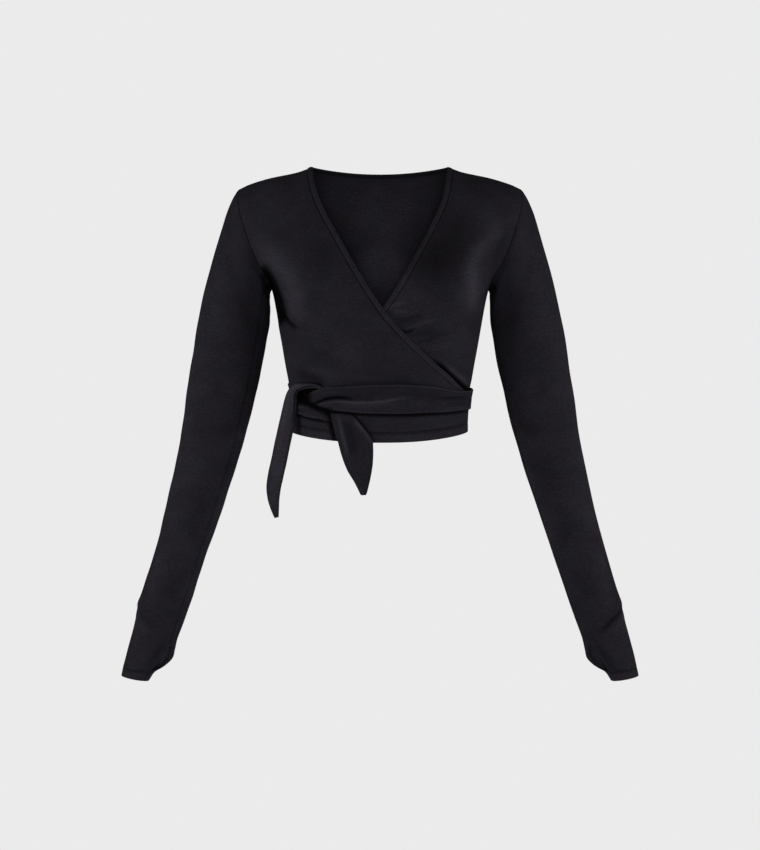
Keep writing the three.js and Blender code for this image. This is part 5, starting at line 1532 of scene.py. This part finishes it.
def cloth_material(name, colour, roughness):
    """Near-black jersey: knitted loops, thick and thin yarn in short level streaks, and faint mottling, its
    colour multiplied by the painted shade and highlights that the mesh carries.
    """
    material = bpy.data.materials.new(name)
    material.use_nodes = True
    nodes, links = material.node_tree.nodes, material.node_tree.links
    shader = nodes["Principled BSDF"]
    shader.inputs["Specular IOR Level"].default_value = GLOSS
    shader.inputs["Sheen Weight"].default_value = SHEEN
    shader.inputs["Sheen Roughness"].default_value = SHEEN_ROUGHNESS
    shader.inputs["Sheen Tint"].default_value = SHEEN_TINT
    place = nodes.new("ShaderNodeUVMap")
    place.uv_map = "Cloth"

    def scaled(along_course, along_wale):
        node = nodes.new("ShaderNodeMapping")
        node.inputs["Scale"].default_value = (along_course, along_wale, 1)
        links.new(place.outputs["UV"], node.inputs["Vector"])
        return node.outputs["Vector"]

    def noise(texture):
        along_course, along_wale, detail, rough = texture
        vector = scaled(along_course, along_wale)
        node = nodes.new("ShaderNodeTexNoise")
        node.noise_dimensions = "2D"
        node.inputs["Scale"].default_value = 1
        node.inputs["Detail"].default_value = detail
        node.inputs["Roughness"].default_value = rough
        links.new(vector, node.inputs["Vector"])
        return node.outputs["Fac"]

    def ranged(value, low, high, to_low, to_high):
        node = nodes.new("ShaderNodeMapRange")
        for key, number in zip(("From Min", "From Max", "To Min", "To Max"), (low, high, to_low, to_high)):
            node.inputs[key].default_value = number
        links.new(value, node.inputs["Value"])
        return node.outputs["Result"]

    def combined(operation, a, b):
        node = nodes.new("ShaderNodeMath")
        node.operation = operation
        for socket, value in zip(node.inputs, (a, b)):
            if isinstance(value, (int, float)):
                socket.default_value = value
            else:
                links.new(value, socket)
        return node.outputs["Value"]

    def wave(repeats, direction):
        vector = scaled(repeats, repeats)
        node = nodes.new("ShaderNodeTexWave")
        node.bands_direction = direction
        node.inputs["Scale"].default_value = 1
        node.inputs["Distortion"].default_value = 0.6
        links.new(vector, node.inputs["Vector"])
        return node.outputs["Fac"]

    streaks = noise(STREAKS)
    thick = ranged(streaks, 0.5, 0.78, 0, 1)
    mottle, fine, grain = noise(MOTTLE), noise(FINE), noise(GRAIN)
    wales, courses = wave(WALES, "X"), wave(COURSES, "Y")
    light = combined("ADD", combined("MULTIPLY", thick, SLUB), ranged(mottle, 0.3, 0.7, 0.92, 1.08))
    light = combined("ADD", light, ranged(fine, 0.25, 0.75, -0.1, 0.1))
    light = combined("ADD", light, ranged(grain, 0.3, 0.7, -0.2, 0.2))
    # painted shade and highlights that the mesh carries, multiplying the colour
    painted_shading = nodes.new("ShaderNodeAttribute")
    painted_shading.attribute_name = "PaintedShading"
    light = combined("MULTIPLY", light, painted_shading.outputs["Fac"])
    hues = nodes.new("ShaderNodeMix")
    hues.data_type = "RGBA"
    hues.inputs["A"].default_value = (*(c * w for c, w in zip(colour, WARM_DYE)), 1)
    hues.inputs["B"].default_value = (*(c * w for c, w in zip(colour, COOL_DYE)), 1)
    links.new(ranged(noise(HUE), 0.35, 0.65, 0, 1), hues.inputs["Factor"])
    tint = nodes.new("ShaderNodeVectorMath")
    tint.operation = "SCALE"
    links.new(hues.outputs["Result"], tint.inputs[0])
    links.new(light, tint.inputs["Scale"])
    links.new(tint.outputs["Vector"], shader.inputs["Base Color"])
    links.new(ranged(streaks, 0.35, 0.75, roughness + 0.04, roughness - 0.06), shader.inputs["Roughness"])
    loops = combined("MULTIPLY", wales, courses)
    height = combined("ADD", combined("MULTIPLY", loops, 0.5), combined("MULTIPLY", thick, 0.9))
    bump = nodes.new("ShaderNodeBump")
    bump.inputs["Strength"].default_value = KNIT_BUMP
    bump.inputs["Distance"].default_value = KNIT_DEPTH
    links.new(height, bump.inputs["Height"])
    links.new(bump.outputs["Normal"], shader.inputs["Normal"])
    return material


def thread_material(name, colour):
    material = bpy.data.materials.new(name)
    material.use_nodes = True
    shader = material.node_tree.nodes["Principled BSDF"]
    shader.inputs["Base Color"].default_value = (*colour, 1)
    shader.inputs["Roughness"].default_value = 0.5
    shader.inputs["Specular IOR Level"].default_value = 0.3
    return material


# The top

jersey = cloth_material("jersey", JERSEY, roughness=0.68)
band_jersey = cloth_material("band_jersey", BAND_JERSEY, roughness=0.66)
sash_jersey = cloth_material("sash_jersey", SASH_JERSEY, roughness=0.66)
thread = thread_material("thread", THREAD)

over, under = Front(1, True, OVER_EDGE), Front(-1, False, UNDER_EDGE)
cloth_over, over_hem = over.panel("cloth_front_over", jersey)
cloth_under, under_hem = under.panel("cloth_front_under", jersey)
cloth_back, back_hem = back_panel(jersey)
band_over, over_line = over.band("band_neck_over", band_jersey)
band_under, under_line = under.band("band_neck_under", band_jersey)
band_back, back_line = back_band(band_jersey)

sleeves, cuffs, bindings = {}, [], {}
for side, word in ((-1, "right"), (1, "left")):
    made, lines = sleeve(f"cloth_sleeve_{word}", side, jersey)
    rim, rim_normal = cut_thumb_hole(made, side)
    bindings[word] = roll(f"binding_thumb_{word}", rim, rim_normal, THUMB_HOLE["rim"], band_jersey)
    sleeves[word] = made
    cuffs.append(stitches(f"thread_cuff_{word}", lines, thread))

belt = sash_on_body("sash_belt", SASH_FRONT, sash_jersey, front_creases=BELT_CREASES, shades=BELT_SHADES)
outer_tie = sash_on_body("sash_tie_outer", TIE_OUTER, sash_jersey, TIE_OUTER_CREASES)
inner_tie = sash_on_body(
    "sash_tie_inner", TIE_INNER, sash_jersey, TIE_INNER_CREASES, STRAND_CREASES, STRAND_SHADES, tucked=14
)
long_tail = free_strip("sash_end_long_cloth", LONG_END, LONG_END_CREASES, LONG_END_SHADES, sash_jersey)
short_tail = short_end("sash_end_short_cloth", sash_jersey)

SEWN = {
    "hem_over": over_hem,
    "hem_under": under_hem,
    "hem_back": back_hem,
    "neck_over": [over_line],
    "neck_under": [under_line],
    "neck_back": [back_line],
}
threads = {place: stitches(f"thread_{place}", lines, thread) for place, lines in SEWN.items()}

# Each piece: what it replaces, its slot, its cut as width, length and area in metres, how it is held, what
# holds it and what goes with it
PIECES = (
    (cloth_back, "back", "jersey", (0.445, 0.365), 0.138, "hung", "shoulders", [threads["hem_back"]]),
    (cloth_over, "front_over", "jersey", (0.305, 0.372), 0.0756, "hung", "shoulders", [threads["hem_over"]]),
    (cloth_under, "front_under", "jersey", (0.300, 0.370), 0.0703, "hung", "shoulders",
     [threads["hem_under"]]),
    (sleeves["right"], "sleeve_right", "jersey", (0.330, 0.665), 0.1374, "hung", "cloth_front_over",
     [bindings["right"], cuffs[0]]),
    (sleeves["left"], "sleeve_left", "jersey", (0.330, 0.665), 0.1374, "hung", "cloth_front_under",
     [bindings["left"], cuffs[1]]),
    (band_over, "neck_band_over", "band", (0.0105, 0.395), 0.0033, "stretched", "cloth_front_over",
     [threads["neck_over"]]),
    (band_under, "neck_band_under", "band", (0.0105, 0.375), 0.0031, "stretched", "cloth_front_under",
     [threads["neck_under"]]),
    (band_back, "neck_band_back", "band", (0.011, 0.196), 0.0021, "stretched", "cloth_back",
     [threads["neck_back"]]),
    (belt, "sash_front", "sash", (0.040, 0.285), 0.0095, "stretched", "cloth_front_over", []),
    (outer_tie, "tie_outer_back", "sash", (0.042, 0.300), 0.011, "stretched", "sash_tie_inner", []),
    (inner_tie, "tie_inner_back", "sash", (0.043, 0.420), 0.0127, "stretched", "cloth_back", []),
    (long_tail, "sash_end_long", "sash", (0.0225, 0.215), 0.0037, "hung", "sash_belt", []),
    (short_tail, "sash_end_short", "sash", (0.046, 0.122), 0.004, "hung", "sash_belt", []),
)
for made, node, slot, flat, area, held, rests_on, with_pieces in PIECES:
    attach(made, "root")
    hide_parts(node)
    for piece in with_pieces:
        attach(piece, "root")


# Stage, light and camera


def lit_only(tree, shader_type, output_type, seen, cast):
    """Emission of one brightness to the camera and another to everything else."""
    tree.nodes.clear()
    path = tree.nodes.new("ShaderNodeLightPath")
    strength = tree.nodes.new("ShaderNodeMix")
    strength.inputs["A"].default_value = cast
    strength.inputs["B"].default_value = seen
    shader = tree.nodes.new(shader_type)
    output = tree.nodes.new(output_type)
    shader.inputs["Color"].default_value = (1, 1, 1, 1)
    tree.links.new(path.outputs["Is Camera Ray"], strength.inputs["Factor"])
    tree.links.new(strength.outputs["Result"], shader.inputs["Strength"])
    tree.links.new(shader.outputs[0], output.inputs["Surface"])


scene = bpy.context.scene
world = bpy.data.worlds.new("studio")
world.use_nodes = True
lit_only(world.node_tree, "ShaderNodeBackground", "ShaderNodeOutputWorld", BACKDROP, WORLD_LIGHT)
scene.world = world

floor_material = bpy.data.materials.new("floor")
floor_material.use_nodes = True
lit_only(floor_material.node_tree, "ShaderNodeEmission", "ShaderNodeOutputMaterial", BACKDROP, FLOOR_LIGHT)
floor_mesh = bpy.data.meshes.new("floor")
corners = [(x * FLOOR_HALF, y * FLOOR_HALF, FLOOR_Z) for x, y in ((-1, -1), (1, -1), (1, 1), (-1, 1))]
floor_mesh.from_pydata(corners, [], [(0, 1, 2, 3)])
floor_mesh.materials.append(floor_material)
floor = bpy.data.objects.new("floor", floor_mesh)
scene.collection.objects.link(floor)

for name, place, size, power in LIGHTS:
    lamp = bpy.data.lights.new(name, "AREA")
    lamp.shape = "RECTANGLE"
    lamp.size, lamp.size_y = size
    lamp.energy = power
    made = bpy.data.objects.new(name, lamp)
    made.location = place
    made.rotation_euler = (Vector(TARGET) - Vector(place)).to_track_quat("-Z", "Y").to_euler()
    scene.collection.objects.link(made)

camera_data = bpy.data.cameras.new("camera")
camera_data.lens = LENS
camera_data.sensor_width = SENSOR
camera = bpy.data.objects.new("camera", camera_data)
tilt = math.radians(ELEVATION)
camera.location = Vector(TARGET) + Vector((0, -math.cos(tilt), math.sin(tilt))) * DISTANCE
camera.rotation_euler = (math.pi / 2 - tilt, 0, 0)
scene.collection.objects.link(camera)
scene.camera = camera
scene.view_settings.view_transform = "Standard"
